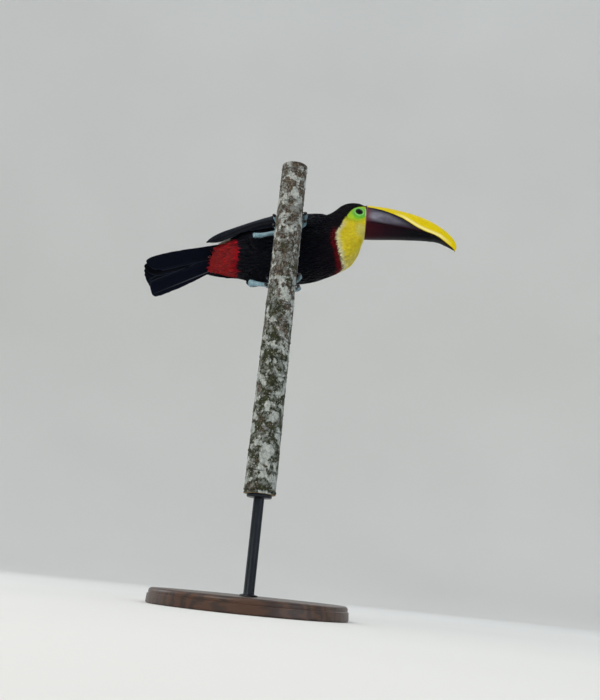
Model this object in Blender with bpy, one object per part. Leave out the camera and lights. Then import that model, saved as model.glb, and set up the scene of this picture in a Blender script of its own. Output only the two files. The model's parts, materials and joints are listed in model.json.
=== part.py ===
"""A life-size still model of a yellow-throated toucan that grips a cut length of palm stem.

Units are metres and +Z is up. The origin is the centre of the stand's underside. The stem stands
upright; the bird clings to its far side (+Y) with its head towards +X. Its body is rolled back, so
that the belly faces the stem, and its head is held level.
"""

from math import cos, pi, radians, sin, tau

import bmesh
import bpy
from mathutils import Matrix, Vector

MM = 0.001
CLEARANCE = 0.4               # mm of air between neighbouring solids

# The stand and the stem, in millimetres like every size below.
BASE_RADIUS = 150
BASE_THICKNESS = 22
BASE_EDGE = 4
ROD_RADIUS = 8
FLANGE_RADIUS = 19
FLANGE_THICKNESS = 5
STEM_AT = (0, -30)            # where the stem's axis crosses the floor
STEM_FOOT = 170               # height of its lower cut
STEM_TOP = 706
STEM_RADIUS_LOW = 24.4
STEM_RADIUS_HIGH = 20.6
SCAR_SPACING = 58             # between the rings that old leaves left
SCAR_RISE = 1.0
SCAR_HALF_HEIGHT = 3.5
STEM_SIDES = 18

# The body is a row of upright slices. Each slice is an egg on its own lean.
# x: (y and z of its middle from the body's, lean from upright in degrees, half height,
#     half width above, half width below)
BODY_AT = Vector((0, 59.5, 589.5))
BODY_SLICES = {
    -146: (14, -30.5, 41, 5, 17, 17),        # tips of the tail coverts
    -125: (12, -21.6, 41, 14.5, 25, 25),
    -104: (10, -16, 41, 27, 31, 31),         # root of the tail
    -80: (6, -11.6, 41, 37, 39, 39),
    -57: (3, -8.4, 41, 44.5, 46, 46),         # rump
    -30: (1, -3.8, 41, 52, 52, 51),
    0: (0, 0, 41, 56, 54.5, 53),             # belly
    30: (-1, 5, 40, 57.5, 55, 54),
    58: (-4, 12, 35, 57.5, 50, 53),          # breast and shoulder
    75: (-7.5, 21.5, 26, 63, 40, 50),
    87: (-11, 30.5, 16, 66, 29, 46),         # nape
    97: (-13.5, 35, 10, 63, 26.5, 41),
    107: (-15, 38, 7, 60, 25.5, 35),         # crown
    115: (-15.5, 42.5, 5, 54, 24.5, 29.5),
    120: (-16, 47, 5, 48, 23.5, 26),
    124: (-16, 53, 5, 41, 22, 23.5),
    127: (-16, 61, 5, 31.5, 20.6, 21),
    130: (-16, 62.5, 5, 29.7, 20.3, 20.5),   # base of the bill
}
SLICE_ROUNDNESS = 2.15        # 2 is an ellipse, more is squarer
SLICE_POINTS = 22
SLICE_STEP = 8.5

# Where the body is parted: a point in each cut and the direction across it, in the XZ plane.
NECK_CUT = ((68, 610), 40)
HEAD_CUT = ((103, 650), 36)
RUMP_CUT = ((-86, 575), 180)

# The head's own frame starts in the middle of the bill's base: x forward, y left, z up.
HEAD_AT = BODY_AT + Vector((128, -16, 62))
HEAD_YAW = -3
HEAD_LEAN = 5
EYE_AT = (-12.5, 16.8, 8.5)
EYE_RADIUS = 7.5

# The mandibles in that frame. Each station is (x, z) of the ridge, (x, z) of the far edge and the
# half width between them.
UPPER_MANDIBLE = (
    ((0.4, 32.3), (0.4, -6.6), 20.0), ((16, 32.2), (18, -7.7), 19.2), ((35, 31.3), (37, -8.9), 18.0),
    ((53, 28.8), (56, -10.1), 16.7), ((72, 25.6), (75, -11.2), 15.3), ((91, 20.8), (93, -12.3), 13.8),
    ((110, 13.8), (107, -13.8), 12.2), ((128, 4.2), (118, -16.4), 10.4),
    ((143, -7.0), (127, -20.9), 8.3), ((152.5, -17.6), (136, -27.2), 6.2),
    ((157.2, -29.0), (146.5, -32.6), 3.7), ((156.6, -37.3), (153.4, -38.0), 0.9),
)
LOWER_MANDIBLE = (
    ((0.4, -30.2), (0.4, -7.2), 19.6), ((20, -28.6), (18, -8.3), 18.8), ((39, -26.5), (37, -9.5), 17.6),
    ((57, -24.8), (56, -10.7), 16.2), ((76, -23.7), (75, -11.8), 14.7), ((94, -23.2), (93, -12.9), 13.2),
    ((111, -23.9), (106.5, -14.5), 11.2), ((121, -25.6), (116.5, -17.2), 8.6),
    ((128.5, -27.6), (125.0, -21.7), 5.2), ((134.5, -29.6), (133.2, -27.6), 1.2),
)
BILL_ARC_POINTS = 13
BILL_ROUNDNESS = 2.3

# The tail's frame: its root lies under the coverts, x runs out along it, y to the bird's right.
TAIL_AT = BODY_AT + Vector((-101, 6.5, -11.5))
TAIL_ALONG = Vector((-0.906, 0.151, -0.395))
TAIL_LENGTH = 142
TAIL_SHOWS_FROM = 34
TAIL_HALF_WIDTH_ROOT = 20
TAIL_HALF_WIDTH_MID = 28      # where it leaves the coverts
TAIL_HALF_WIDTH_END = 39
TAIL_THICKNESS = 4.0
TAIL_EDGE = 1.2
TAIL_ARCH = 3.0
TAIL_SKEW = 6                 # the right side of the fan is drawn in by this much
RECTRICES = 10
RECTRIX_TIP = 3.0             # how far each rounded tip stands out
OUTER_RECTRIX_SHORTER = 19

# A folded wing, from the bend to the tip. x: (angle of its upper edge and of its lower edge from the
# back's ridge in degrees, height over the body at its root, thickness)
WING_STATIONS = {
    60: (66, 84, 1.5, 1.6), 54: (52, 96, 1.5, 4.3), 40: (38, 102, 1.4, 6.4), 20: (26, 103, 1.3, 7.2),
    0: (18, 101, 1.2, 7.2), -22: (12, 98, 1.2, 6.7), -45: (9, 94, 1.4, 6.4), -68: (10, 88, 2.4, 6.6),
    -90: (16, 82, 5.0, 6.2), -112: (30, 76, 9.5, 5.0), -128: (44, 70, 12.5, 3.4), -139: (56, 64, 11.5, 1.4),
}
WING_COVERTS_END = -26
WING_POINTS = 9
LEFT_WING_TUCK = 0.45         # how much of the right wing's lift the left tip has

# Legs: heel joints, feet and toes. Angles run round the stem from its back (+Y) towards the head.
THIGH_RADIUS = 17
HEEL_RADIUS = 6.8
TARSUS_RADIUS = 4.3
TOE_RADIUS = 4.4
CLAW_RADIUS = 2.5
LEGS = {
    "right": {"hip": (-26, 36, 572), "heel": (-56.5, 4.5, 590), "palm": (-16, 603),
              "toes": {"1": (-58, 605), "2": (88, 612), "3": (96, 624), "4": (-70, 620)}},
    "left": {"hip": (-30, 52, 548), "heel": (-54.5, 31, 519), "palm": (-16, 507),
             "toes": {"1": (-70, 501), "2": (98, 519), "3": (100, 499), "4": (-56, 514)}},
}


def material(name, colour, roughness, metallic=0.0):
    """A Principled material from an sRGB hex colour."""
    new = bpy.data.materials.new(name)
    new.use_nodes = True
    shader = new.node_tree.nodes["Principled BSDF"]
    channels = [int(colour[i:i + 2], 16) / 255 for i in (1, 3, 5)]
    linear = [c / 12.92 if c <= 0.04045 else ((c + 0.055) / 1.055) ** 2.4 for c in channels]
    shader.inputs["Base Color"].default_value = (*linear, 1.0)
    shader.inputs["Roughness"].default_value = roughness
    shader.inputs["Metallic"].default_value = metallic
    new.diffuse_color = (*linear, 1.0)
    return new


def add_object(name, bm, surface):
    """Turns a bmesh in millimetres into a scene object in metres."""
    bmesh.ops.recalc_face_normals(bm, faces=bm.faces)
    bmesh.ops.scale(bm, vec=(MM, MM, MM), verts=bm.verts)
    mesh = bpy.data.meshes.new(name)
    bm.to_mesh(mesh)
    bm.free()
    mesh.materials.append(surface)
    mesh.shade_smooth()
    mesh.set_sharp_from_angle(angle=radians(38))
    made = bpy.data.objects.new(name, mesh)
    bpy.context.scene.collection.objects.link(made)
    return made


def bridge(bm, rings):
    """Joins closed rings of points into one skin, closed at both ends."""
    loops = []
    for ring in rings:
        verts = [bm.verts.new(point) for point in ring]
        loops.append([bm.edges.new((verts[i - 1], verts[i])) for i in range(len(verts))])
    for first, second in zip(loops, loops[1:]):
        bmesh.ops.bridge_loops(bm, edges=first + second)
    for end in (loops[0], loops[-1]):
        bmesh.ops.contextual_create(bm, geom=end)
    return bm


def turned(profile, sides, axis):
    """Spins an outline of (radius, height) round an upright axis."""
    rings = []
    for radius, height in profile:
        rings.append([Vector((axis[0] + radius * cos(tau * i / sides),
                              axis[1] + radius * sin(tau * i / sides), height)) for i in range(sides)])
    return bridge(bmesh.new(), rings)


def cutter(made):
    """Marks an object as a tool that only shapes others."""
    made.hide_render = True
    made.display_type = "WIRE"
    return made


def boolean(target, tool, operation="DIFFERENCE"):
    step = target.modifiers.new(operation.title(), "BOOLEAN")
    step.operation = operation
    step.solver = "EXACT"
    step.object = tool


def between(stations, x):
    """Reads a smooth curve through a table of numbers, one curve for each column."""
    keys = sorted(stations)
    x = min(max(x, keys[0]), keys[-1])
    at = max(i for i in range(len(keys) - 1) if keys[i] <= x)

    def slope(i, column):
        low, high = max(i - 1, 0), min(i + 1, len(keys) - 1)
        return (stations[keys[high]][column] - stations[keys[low]][column]) / (keys[high] - keys[low])

    span = keys[at + 1] - keys[at]
    t = (x - keys[at]) / span
    values = []
    for column in range(len(stations[keys[0]])):
        start, end = stations[keys[at]][column], stations[keys[at + 1]][column]
        values.append((2 * t**3 - 3 * t**2 + 1) * start + (t**3 - 2 * t**2 + t) * span * slope(at, column)
                      + (3 * t**2 - 2 * t**3) * end + (t**3 - t**2) * span * slope(at + 1, column))
    return values


def power(value, roundness):
    """A cosine or sine bent so that its circle turns squarer."""
    return (1 if value >= 0 else -1) * abs(value) ** (2 / roundness)


def body_point(x, angle, lift=0.0):
    """The point of the plumage at x, at an angle from the back's ridge towards the bird's right."""
    y, z, lean, half_height, above, below = between(BODY_SLICES, x)
    up = Vector((0, sin(radians(lean)), cos(radians(lean))))
    right = Vector((0, -up.z, up.y))
    rise, side = power(cos(angle), SLICE_ROUNDNESS), power(sin(angle), SLICE_ROUNDNESS)
    width = above + (below - above) * (1 - rise) / 2
    out = up * (half_height * rise) + right * (width * side)
    return BODY_AT + Vector((x, y, z)) + out + out.normalized() * lift


def body_form(lift=0.0):
    """The whole of the plumage from the tail coverts to the bill, as one skin."""
    first, last = min(BODY_SLICES), max(BODY_SLICES)
    count = round((last - first) / SLICE_STEP)
    places = [first + (last - first) * i / count for i in range(count + 1)]
    places += [last - 1.6, last - 4.2]
    rings = []
    for x in sorted(places):
        rings.append([body_point(x, tau * i / SLICE_POINTS, lift) for i in range(SLICE_POINTS)])
    return bridge(bmesh.new(), rings)


def plane_of(cut):
    (x, z), degrees = cut
    return Vector((x, BODY_AT.y, z)), Vector((cos(radians(degrees)), 0, sin(radians(degrees))))


def keep_side(bm, point, normal):
    """Cuts a closed skin and keeps what lies against the normal, closed again."""
    everything = bm.verts[:] + bm.edges[:] + bm.faces[:]
    bmesh.ops.bisect_plane(bm, geom=everything, dist=1e-4, plane_co=point, plane_no=normal,
                           clear_outer=True)
    rim = [edge for edge in bm.edges if edge.is_boundary]
    bmesh.ops.contextual_create(bm, geom=rim)


def make_stand():
    black_steel = material("stand_steel", "#22252A", 0.42, 0.85)
    stained_wood = material("stand_wood", "#3B2A20", 0.45)
    edge = [(BASE_RADIUS - BASE_EDGE * (1 - cos(a)), BASE_THICKNESS - BASE_EDGE * (1 - sin(a)))
            for a in (0, pi / 6, pi / 3, pi / 2)]
    base = turned([(BASE_RADIUS - 1, 0), (BASE_RADIUS, 1)] + edge, 44, (0, 0))
    add_object("stand_base", base, stained_wood)
    flange_foot = STEM_FOOT - CLEARANCE - FLANGE_THICKNESS
    rod = turned([(ROD_RADIUS, BASE_THICKNESS + CLEARANCE), (ROD_RADIUS, flange_foot - CLEARANCE)],
                 16, STEM_AT)
    add_object("stand_rod", rod, black_steel)
    flange = turned([(FLANGE_RADIUS - 1, flange_foot), (FLANGE_RADIUS, flange_foot + 1),
                     (FLANGE_RADIUS, STEM_FOOT - CLEARANCE)], 28, STEM_AT)
    add_object("stand_flange", flange, black_steel)


def stem_radius(height):
    share = (height - STEM_FOOT) / (STEM_TOP - STEM_FOOT)
    return STEM_RADIUS_LOW + (STEM_RADIUS_HIGH - STEM_RADIUS_LOW) * share


def make_stem():
    bark = material("palm_bark", "#4A4238", 0.9)
    profile = [(stem_radius(STEM_FOOT) - 1, STEM_FOOT), (stem_radius(STEM_FOOT), STEM_FOOT + 1)]
    scars = int((STEM_TOP - STEM_FOOT) / SCAR_SPACING)
    for i in range(scars):
        height = STEM_FOOT + SCAR_SPACING * (i + 0.6)
        for offset, rise in ((-SCAR_HALF_HEIGHT, 0), (0, SCAR_RISE), (SCAR_HALF_HEIGHT, 0)):
            profile.append((stem_radius(height) + rise, height + offset))
    profile += [(stem_radius(STEM_TOP), STEM_TOP - 1), (stem_radius(STEM_TOP) - 1, STEM_TOP)]
    add_object("stem", turned(profile, STEM_SIDES, STEM_AT), bark)


def head_matrix():
    return (Matrix.Translation(HEAD_AT) @ Matrix.Rotation(radians(HEAD_YAW), 4, "Z")
            @ Matrix.Rotation(radians(-HEAD_LEAN), 4, "X"))


def ball(radius, centre, rings=8, segments=14):
    bm = bmesh.new()
    bmesh.ops.create_uvsphere(bm, u_segments=segments, v_segments=rings, radius=radius)
    bmesh.ops.translate(bm, vec=centre, verts=bm.verts)
    return bm


def tail_frame():
    """The tail's place: out along it, to the bird's right and up off its back."""
    lean = radians(BODY_SLICES[-104][2])
    out = TAIL_ALONG.normalized()
    right = Vector((0, -cos(lean), sin(lean)))
    right = (right - out * right.dot(out)).normalized()
    return out, right, out.cross(right)


def make_body():
    plumage = material("black_plumage", "#12131A", 0.6)
    bib = material("yellow_bib", "#E3D22C", 0.7)
    vent = material("red_vent", "#B3122A", 0.7)
    white = material("white_rump", "#E9E4D4", 0.7)
    half_gap = CLEARANCE / 2

    def parted(*cuts):
        bm = body_form()
        for point, normal in cuts:
            keep_side(bm, point - normal * half_gap, normal)
        return bm

    face = head_matrix()
    face_at, face_way = face @ Vector((half_gap, 0, 0)), face.col[0].xyz
    neck_at, neck_way = plane_of(NECK_CUT)
    head_at, head_way = plane_of(HEAD_CUT)
    rump_at, rump_way = plane_of(RUMP_CUT)
    out, right, up = tail_frame()
    slot = TAIL_THICKNESS / 2 + TAIL_ARCH / 2
    torso = add_object("torso", parted((neck_at, neck_way), (rump_at, rump_way)), plumage)
    add_object("neck", parted((neck_at, -neck_way), (head_at, head_way)), bib)
    head = add_object("head", parted((head_at, -head_way), (face_at, face_way)), plumage)
    add_object("uppertail_coverts", parted((rump_at, -rump_way), (TAIL_AT + up * slot, -up)), white)
    add_object("undertail_coverts", parted((rump_at, -rump_way), (TAIL_AT - up * slot, up)), vent)
    return torso, head


def make_eyes(head):
    iris = material("eye", "#1A120E", 0.08)
    for side, sign in (("right", -1), ("left", 1)):
        centre = head_matrix() @ Vector((EYE_AT[0], EYE_AT[1] * sign, EYE_AT[2]))
        add_object(side + "_eye", ball(EYE_RADIUS, centre), iris)
        socket = add_object(side + "_socket", ball(EYE_RADIUS + CLEARANCE, centre), iris)
        boolean(head, cutter(socket))


def mandible(stations):
    """Arched slices that run from a flat cutting edge over the ridge."""
    rings = []
    for ridge, edge, half_width in stations:
        top, foot = Vector((ridge[0], 0, ridge[1])), Vector((edge[0], 0, edge[1]))
        ring = []
        for i in range(BILL_ARC_POINTS):
            angle = pi * i / (BILL_ARC_POINTS - 1) - pi / 2
            rise, side = power(cos(angle), BILL_ROUNDNESS), power(sin(angle), BILL_ROUNDNESS)
            ring.append(foot.lerp(top, rise) + Vector((0, half_width * side, 0)))
        ring += [foot + Vector((0, half_width * share, 0)) for share in (0.5, 0, -0.5)]
        rings.append([head_matrix() @ point for point in ring])
    return bridge(bmesh.new(), rings)


def make_bill():
    add_object("bill_upper", mandible(UPPER_MANDIBLE), material("upper_mandible", "#E2C420", 0.4))
    add_object("bill_lower", mandible(LOWER_MANDIBLE), material("lower_mandible", "#35121A", 0.4))


def tail_half_width(along):
    return between({0: (TAIL_HALF_WIDTH_ROOT,), TAIL_SHOWS_FROM: (TAIL_HALF_WIDTH_MID,),
                    TAIL_LENGTH * 0.8: (TAIL_HALF_WIDTH_END,), TAIL_LENGTH: (TAIL_HALF_WIDTH_END,)}, along)[0]


def make_tail():
    """A fan plate, arched across, with ten rounded tips that shorten towards its edges."""
    out, right, up = tail_frame()
    across = 2 * RECTRICES
    rows = (0, 0.22, 0.45, 0.68, 0.86, 0.96, 1.0)
    rings = []
    for row in rows:
        upper, lower = [], []
        for i in range(across + 1):
            share = 2 * i / across - 1
            tip = RECTRIX_TIP * (i % 2 - 1)
            length = TAIL_LENGTH - OUTER_RECTRIX_SHORTER * abs(share) ** 3 - TAIL_SKEW * share + tip
            along = length * row
            middle = (TAIL_AT + out * along + right * (tail_half_width(along) * share)
                      - up * (TAIL_ARCH * (share ** 2 - 0.5)))
            thin = max(abs(share), row) ** 4
            half = (TAIL_THICKNESS + (TAIL_EDGE - TAIL_THICKNESS) * thin) / 2
            upper.append(middle + up * half)
            lower.append(middle - up * half)
        rings.append(upper + lower[::-1])
    add_object("tail", bridge(bmesh.new(), rings), material("tail_feathers", "#0F1016", 0.55))


def wing_patch(side, places):
    """A bowed shell that lies along one side of the body."""
    sign = 1 if side == "right" else -1
    tuck = 1 if side == "right" else LEFT_WING_TUCK
    rings = []
    for x in places:
        high, low, lift, thick = between(WING_STATIONS, x)
        lift = 1.2 + (lift - 1.2) * tuck if lift > 1.5 else lift
        outer, inner = [], []
        for i in range(WING_POINTS):
            share = i / (WING_POINTS - 1)
            angle = radians(high + (low - high) * share) * sign
            bow = 0.22 + 0.78 * (1 - abs(2 * share - 1) ** 2.6)
            outer.append(body_point(x, angle, lift + max(thick * bow, 0.8)))
            inner.append(body_point(x, angle, lift))
        rings.append(outer + inner[::-1])
    return bridge(bmesh.new(), rings)


def make_wings():
    coverts = material("wing_coverts", "#14151C", 0.55)
    quills = material("wing_quills", "#101117", 0.5)
    keys = sorted(WING_STATIONS, reverse=True)
    front = [60, 57] + [x for x in keys if WING_COVERTS_END < x < 60] + [WING_COVERTS_END + CLEARANCE]
    rear = [WING_COVERTS_END] + [x for x in keys if x < WING_COVERTS_END]
    for side in ("right", "left"):
        add_object(side + "_wing_coverts", wing_patch(side, front), coverts)
        add_object(side + "_wing_quills", wing_patch(side, rear), quills)


def tube(path, radii, sides=10):
    """A round limb along a path; its rings stand square to the path and share one reference."""
    rings = []
    for i, point in enumerate(path):
        along = (path[min(i + 1, len(path) - 1)] - path[max(i - 1, 0)]).normalized()
        across = along.cross(Vector((0.1, 0.2, 1))).normalized()
        over = along.cross(across)
        rings.append([point + (across * cos(tau * k / sides) + over * sin(tau * k / sides)) * radii[i]
                      for k in range(sides)])
    return bridge(bmesh.new(), rings)


def rounded(start, end, radii, steps=5):
    """The path and radii of a straight limb with domed ends."""
    path, sizes = [], []
    length = (end - start).length
    for t in (0.0, 0.12, 0.4):
        path.append(start.lerp(end, t * radii[0] / length))
        sizes.append(radii[0] * (0.3 + 0.7 * (1 - (1 - t / 0.4) ** 2) ** 0.5))
    for i in range(1, steps):
        share = 0.4 * radii[0] / length + (1 - 0.4 * (radii[0] + radii[-1]) / length) * i / steps
        place = (len(radii) - 1) * i / steps
        low = min(int(place), len(radii) - 2)
        path.append(start.lerp(end, share))
        sizes.append(radii[low] + (radii[low + 1] - radii[low]) * (place - low))
    for t in (0.4, 0.12, 0.0):
        path.append(end.lerp(start, t * radii[-1] / length))
        sizes.append(radii[-1] * (0.3 + 0.7 * (1 - (1 - t / 0.4) ** 2) ** 0.5))
    return path, sizes


def round_stem(degrees, height, off):
    """A point beside the stem, off its bark, at an angle from its back."""
    reach = stem_radius(height) + off
    angle = radians(degrees)
    return Vector((STEM_AT[0] + reach * sin(angle), STEM_AT[1] + reach * cos(angle), height))


def toe_path(palm, tip):
    """From the palm round the stem to the toe's end, clear of the leaf scars."""
    path, sizes = [], []
    steps = 6
    for i in range(steps + 1):
        t = i / steps
        radius = TOE_RADIUS * (1 - 0.22 * t) * (0.55 if i == steps else 1)
        degrees = palm[0] + (tip[0] - palm[0]) * t
        height = palm[1] + (tip[1] - palm[1]) * (1 - (1 - t) ** 1.6)
        path.append(round_stem(degrees, height, TOE_RADIUS + SCAR_RISE + CLEARANCE - 0.6 * t))
        sizes.append(radius)
    return path, sizes


def claw_path(palm, tip):
    turn = 1 if tip[0] > palm[0] else -1
    path, sizes = [], []
    for i in range(5):
        t = i / 4
        off = 4.3 + 2.0 * sin(pi * min(t * 1.15, 1)) - 2.2 * t
        path.append(round_stem(tip[0] + turn * (2.6 + 23 * t), tip[1] - 2.5 * t * t, off))
        sizes.append(CLAW_RADIUS * (1 - 0.82 * t ** 1.3))
    return path, sizes


def make_leg(side, torso_tool):
    thigh_plumage = material(side + "_thigh_plumage", "#15161D", 0.65)
    scales = material(side + "_leg_scales", "#7FA2AF", 0.5)
    horn = material(side + "_claw_horn", "#2A2523", 0.35)
    leg = LEGS[side]
    hip, heel = Vector(leg["hip"]), Vector(leg["heel"])
    palm = leg["palm"]
    palm_at = round_stem(palm[0], palm[1], TOE_RADIUS + SCAR_RISE + CLEARANCE + 0.8)
    tarsus_path = rounded(heel, palm_at, (HEEL_RADIUS, TARSUS_RADIUS, TARSUS_RADIUS, TARSUS_RADIUS + 0.6))
    tarsus = add_object(side + "_tarsus", tube(*tarsus_path, sides=10), scales)
    reach = (heel - hip).normalized() * 3
    thigh = add_object(side + "_thigh", tube(*rounded(hip, heel + reach, (THIGH_RADIUS, 15, 9.2)), sides=14),
                       thigh_plumage)
    boolean(thigh, torso_tool)
    grown = tube(tarsus_path[0], [r + CLEARANCE for r in tarsus_path[1]], sides=10)
    tarsus_tool = cutter(add_object(side + "_tarsus_room", grown, scales))
    boolean(thigh, tarsus_tool)
    foot = add_object(side + "_foot", ball(TOE_RADIUS + 0.9, palm_at, 8, 12), scales)
    for number, tip in leg["toes"].items():
        toe = cutter(add_object(side + "_toe_" + number, tube(*toe_path(palm, tip), sides=7), scales))
        boolean(foot, toe, "UNION")
        add_object(f"{side}_claw_{number}", tube(*claw_path(palm, tip), sides=7), horn)
    boolean(foot, tarsus_tool)


def make_legs():
    room = cutter(add_object("torso_room", body_form(CLEARANCE), bpy.data.materials["black_plumage"]))
    for side in ("right", "left"):
        make_leg(side, room)


for old in list(bpy.data.objects):
    bpy.data.objects.remove(old)
make_stand()
make_stem()
body, skull = make_body()
make_eyes(skull)
make_bill()
make_tail()
make_wings()
make_legs()
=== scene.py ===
"""The looks of a life-size still toucan that grips a cut palm stem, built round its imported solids.

Lengths are in millimetres until a piece is added, when they turn to metres. The bird's head points
to +X, its back leans away from the stem, and +Z is up. Run the file in Blender as a script.
"""

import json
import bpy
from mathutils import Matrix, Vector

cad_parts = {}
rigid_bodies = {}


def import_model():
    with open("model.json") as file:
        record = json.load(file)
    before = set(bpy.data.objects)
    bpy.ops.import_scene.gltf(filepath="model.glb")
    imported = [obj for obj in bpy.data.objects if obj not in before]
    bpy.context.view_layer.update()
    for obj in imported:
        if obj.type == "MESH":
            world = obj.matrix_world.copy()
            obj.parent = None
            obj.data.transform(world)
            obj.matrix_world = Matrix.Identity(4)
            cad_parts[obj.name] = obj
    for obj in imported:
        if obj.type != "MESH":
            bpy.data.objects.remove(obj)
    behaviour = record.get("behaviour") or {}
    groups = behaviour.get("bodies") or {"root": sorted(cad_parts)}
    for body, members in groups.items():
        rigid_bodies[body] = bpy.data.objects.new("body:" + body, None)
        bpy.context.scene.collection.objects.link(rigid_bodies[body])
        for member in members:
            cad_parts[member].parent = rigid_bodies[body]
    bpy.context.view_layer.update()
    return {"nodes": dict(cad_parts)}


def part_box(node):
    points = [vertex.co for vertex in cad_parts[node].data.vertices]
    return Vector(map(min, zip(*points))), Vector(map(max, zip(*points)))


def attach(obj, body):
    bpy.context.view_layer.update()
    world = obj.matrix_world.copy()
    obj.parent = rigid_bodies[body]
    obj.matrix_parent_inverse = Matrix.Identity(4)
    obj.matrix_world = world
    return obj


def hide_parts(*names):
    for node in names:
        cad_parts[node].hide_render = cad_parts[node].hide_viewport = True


bl_info = {
    "name": "Toucan Display Model",
    "version": (1, 0, 0),
    "blender": (4, 5, 0),
    "location": "View3D > Sidebar > Toucan",
    "description": "Dresses the packed solids of a still toucan with skin, feathers, horn and bark",
    "category": "Add Mesh",
}

from functools import cache
from math import cos, pi, radians, sin, tau

import bmesh
import bpy
import numpy as np
from bpy.props import FloatProperty, FloatVectorProperty, IntProperty, PointerProperty
from mathutils import Color, Matrix, Vector, noise
from mathutils.bvhtree import BVHTree

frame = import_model()
MM = 0.001
SEED = 11
BODY = ("torso", "neck", "head", "uppertail_coverts", "undertail_coverts")
SWELL = 0.7                   # how far each solid is swollen before the skin joins them
DRAW_IN = 0.45                # and how far the joined skin is drawn back in
BARK_PROUD = 1.15             # the most that bark stands out of its solid
LEG_GRAIN = 0.5               # size of the legs' mesh
CROWDING = 0.78               # how close feathers may grow, as a share of their spacing
TRIES = 3.2                   # places tried for each feather wanted
UV_PATCH = 0.003              # width of a coat feather on the baking map
BAKE_CELLS = 12               # long feathers along each side of their baking map

# The roll of the back about the body's axis, in degrees from upright at x.
ROLL_AT = ((-150, 41), (30, 40), (58, 35), (75, 26), (87, 16), (97, 10), (107, 7), (130, 5))

# The face is measured from the middle between the eyes: x forward, y left, z up.
EYE_RADIUS = 7.5
BILL_BASE = 12.5              # how far the bill's base lies before the eyes
BARE_SKIN = (16, 19, 15.5, 15)   # how far bare skin reaches before, behind, over and under the eye
GAZE_UP = 15                  # degrees that the eyes look up and forward of straight out
GAZE_FORWARD = 8

# Where the black of the crown, nape and back ends, and where the red under the tail begins: x at
# an angle from the back's ridge.
BLACK_EDGE = ((23, 112), (27, 105), (34, 100.4), (49, 94.5), (69, 89.8), (91, 86.0), (104, 81.3),
              (113, 80.0), (126, 80.8), (138, 84.4), (151, 89.0), (165, 94.0), (180, 99))
CROWN_EDGE = 21.5             # degrees; over the face the black ends along this line
RED_EDGE = ((60, -104), (78, -93), (95, -88), (112, -82), (130, -77.5), (150, -75.5), (168, -76),
            (180, -80))
RUMP_FROM = -86               # x where the white over the tail begins
CRISSUM_EDGE = ((-127, 84), (-112, 88), (-97, 82), (-86, 62))   # x, degrees; white above, red below
REAR = -110                   # x behind which the body's end is drawn in under the last feathers
REAR_SHARE = 0.4              # and how much of it is taken off
COAT_END = -120               # the last roots before the tail

# The lower edge of the culmen's yellow stripe on the side of the bill, as x and z from the eyes.
STRIPE_EDGE = ((10, 16.3), (25.5, 14.8), (38.5, 12.6), (55.4, 7.6), (74.2, 0.4), (93.2, -10.6),
               (102.7, -15.7), (112, -19.2), (121, -22.0), (131, -24.8), (139.5, -27.4), (148.5, -32.8),
               (159, -39.6), (168, -49))
TOMIUM_Z = ((12.9, -15.1), (49.5, -17.4), (87.5, -19.7), (105.5, -20.8), (119.5, -22.3), (131, -25.2),
            (139.5, -29.4), (148.5, -35.7), (159, -41.1), (166, -46.5))

LOWER_TIP = 164               # how far the lower mandible reaches under the hook
LOWER_DEPTH = ((90, 0.92), (114, 0.84), (124, 0.74), (136, 0.46), (146, 0.2), (158, 0.1))

# The lie of the tail.
TAIL_ALONG = Vector((-0.906, 0.151, -0.395)).normalized()
TAIL_ROLL = 41


def linear(hex_colour):
    """An sRGB hex colour as linear red, green and blue."""
    channels = [int(hex_colour[i:i + 2], 16) / 255 for i in (1, 3, 5)]
    return tuple(c / 12.92 if c <= 0.04045 else ((c + 0.055) / 1.055) ** 2.4 for c in channels)


def colour_property(name, description, hex_colour):
    return FloatVectorProperty(name=name, description=description, subtype="COLOR", size=3,
                               min=0, max=1, default=linear(hex_colour))


class ToucanColours(bpy.types.PropertyGroup):
    """The colours that a user would change."""
    black: colour_property("Black", "Plumage of the back, wings, belly and tail", "#05060C")
    bib: colour_property("Bib", "Throat and breast feathers", "#EFDD28")
    bib_edge: colour_property("Bib edge", "Pale rim behind and under the bib", "#E9E4B4")
    band: colour_property("Breast band", "Crimson band under the bib", "#650610")
    crissum: colour_property("Crissum", "Feathers under the root of the tail", "#9C0814")
    rump: colour_property("Rump", "Feathers over the root of the tail", "#DEDAC9")
    lime: colour_property("Lime skin", "Bare skin next to the eye", "#63AE2E")
    lime_edge: colour_property("Lime skin, far", "Bare skin away from the eye", "#9BBE08")
    eye_ring: colour_property("Eye ring", "Granular ring of skin round the eye", "#98D290")
    culmen: colour_property("Culmen", "Stripe along the ridge of the bill", "#DDC804")
    upper_bill: colour_property("Upper bill", "Side of the upper mandible", "#585562")
    bill_root: colour_property("Bill root", "Both mandibles next to the face", "#5E2730")
    lower_bill: colour_property("Lower bill", "Lower mandible", "#200613")


class ToucanSizes(bpy.types.PropertyGroup):
    """The sizes that a user would change, in millimetres where they are lengths."""
    feather_length: FloatProperty(name="Feather length", description="Of the feathers on the back",
                                  default=17, min=6, max=30)
    feather_density: FloatProperty(name="Feather density", description="How close feathers are set",
                                   default=1, min=0.4, max=1.4, subtype="FACTOR")
    coat_depth: FloatProperty(name="Coat depth", description="From the skin to the feather tips",
                              default=3.6, min=1, max=6)
    skin_grain: FloatProperty(name="Skin grain", description="Size of the skin's mesh", default=2.0,
                              min=1.4, max=4)
    ring_spacing: FloatProperty(name="Leaf scar spacing", description="Along the palm stem",
                                default=29, min=12, max=80)
    primaries: IntProperty(name="Primaries", description="Long quills shown on each wing",
                           default=7, min=3, max=10)
    secondaries: IntProperty(name="Secondaries", description="Inner quills shown on each wing",
                             default=9, min=4, max=12)


def colours():
    return bpy.context.scene.toucan_colours


def sizes():
    return bpy.context.scene.toucan_sizes


# ---------------------------------------------------------------- meshes and pieces


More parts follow.
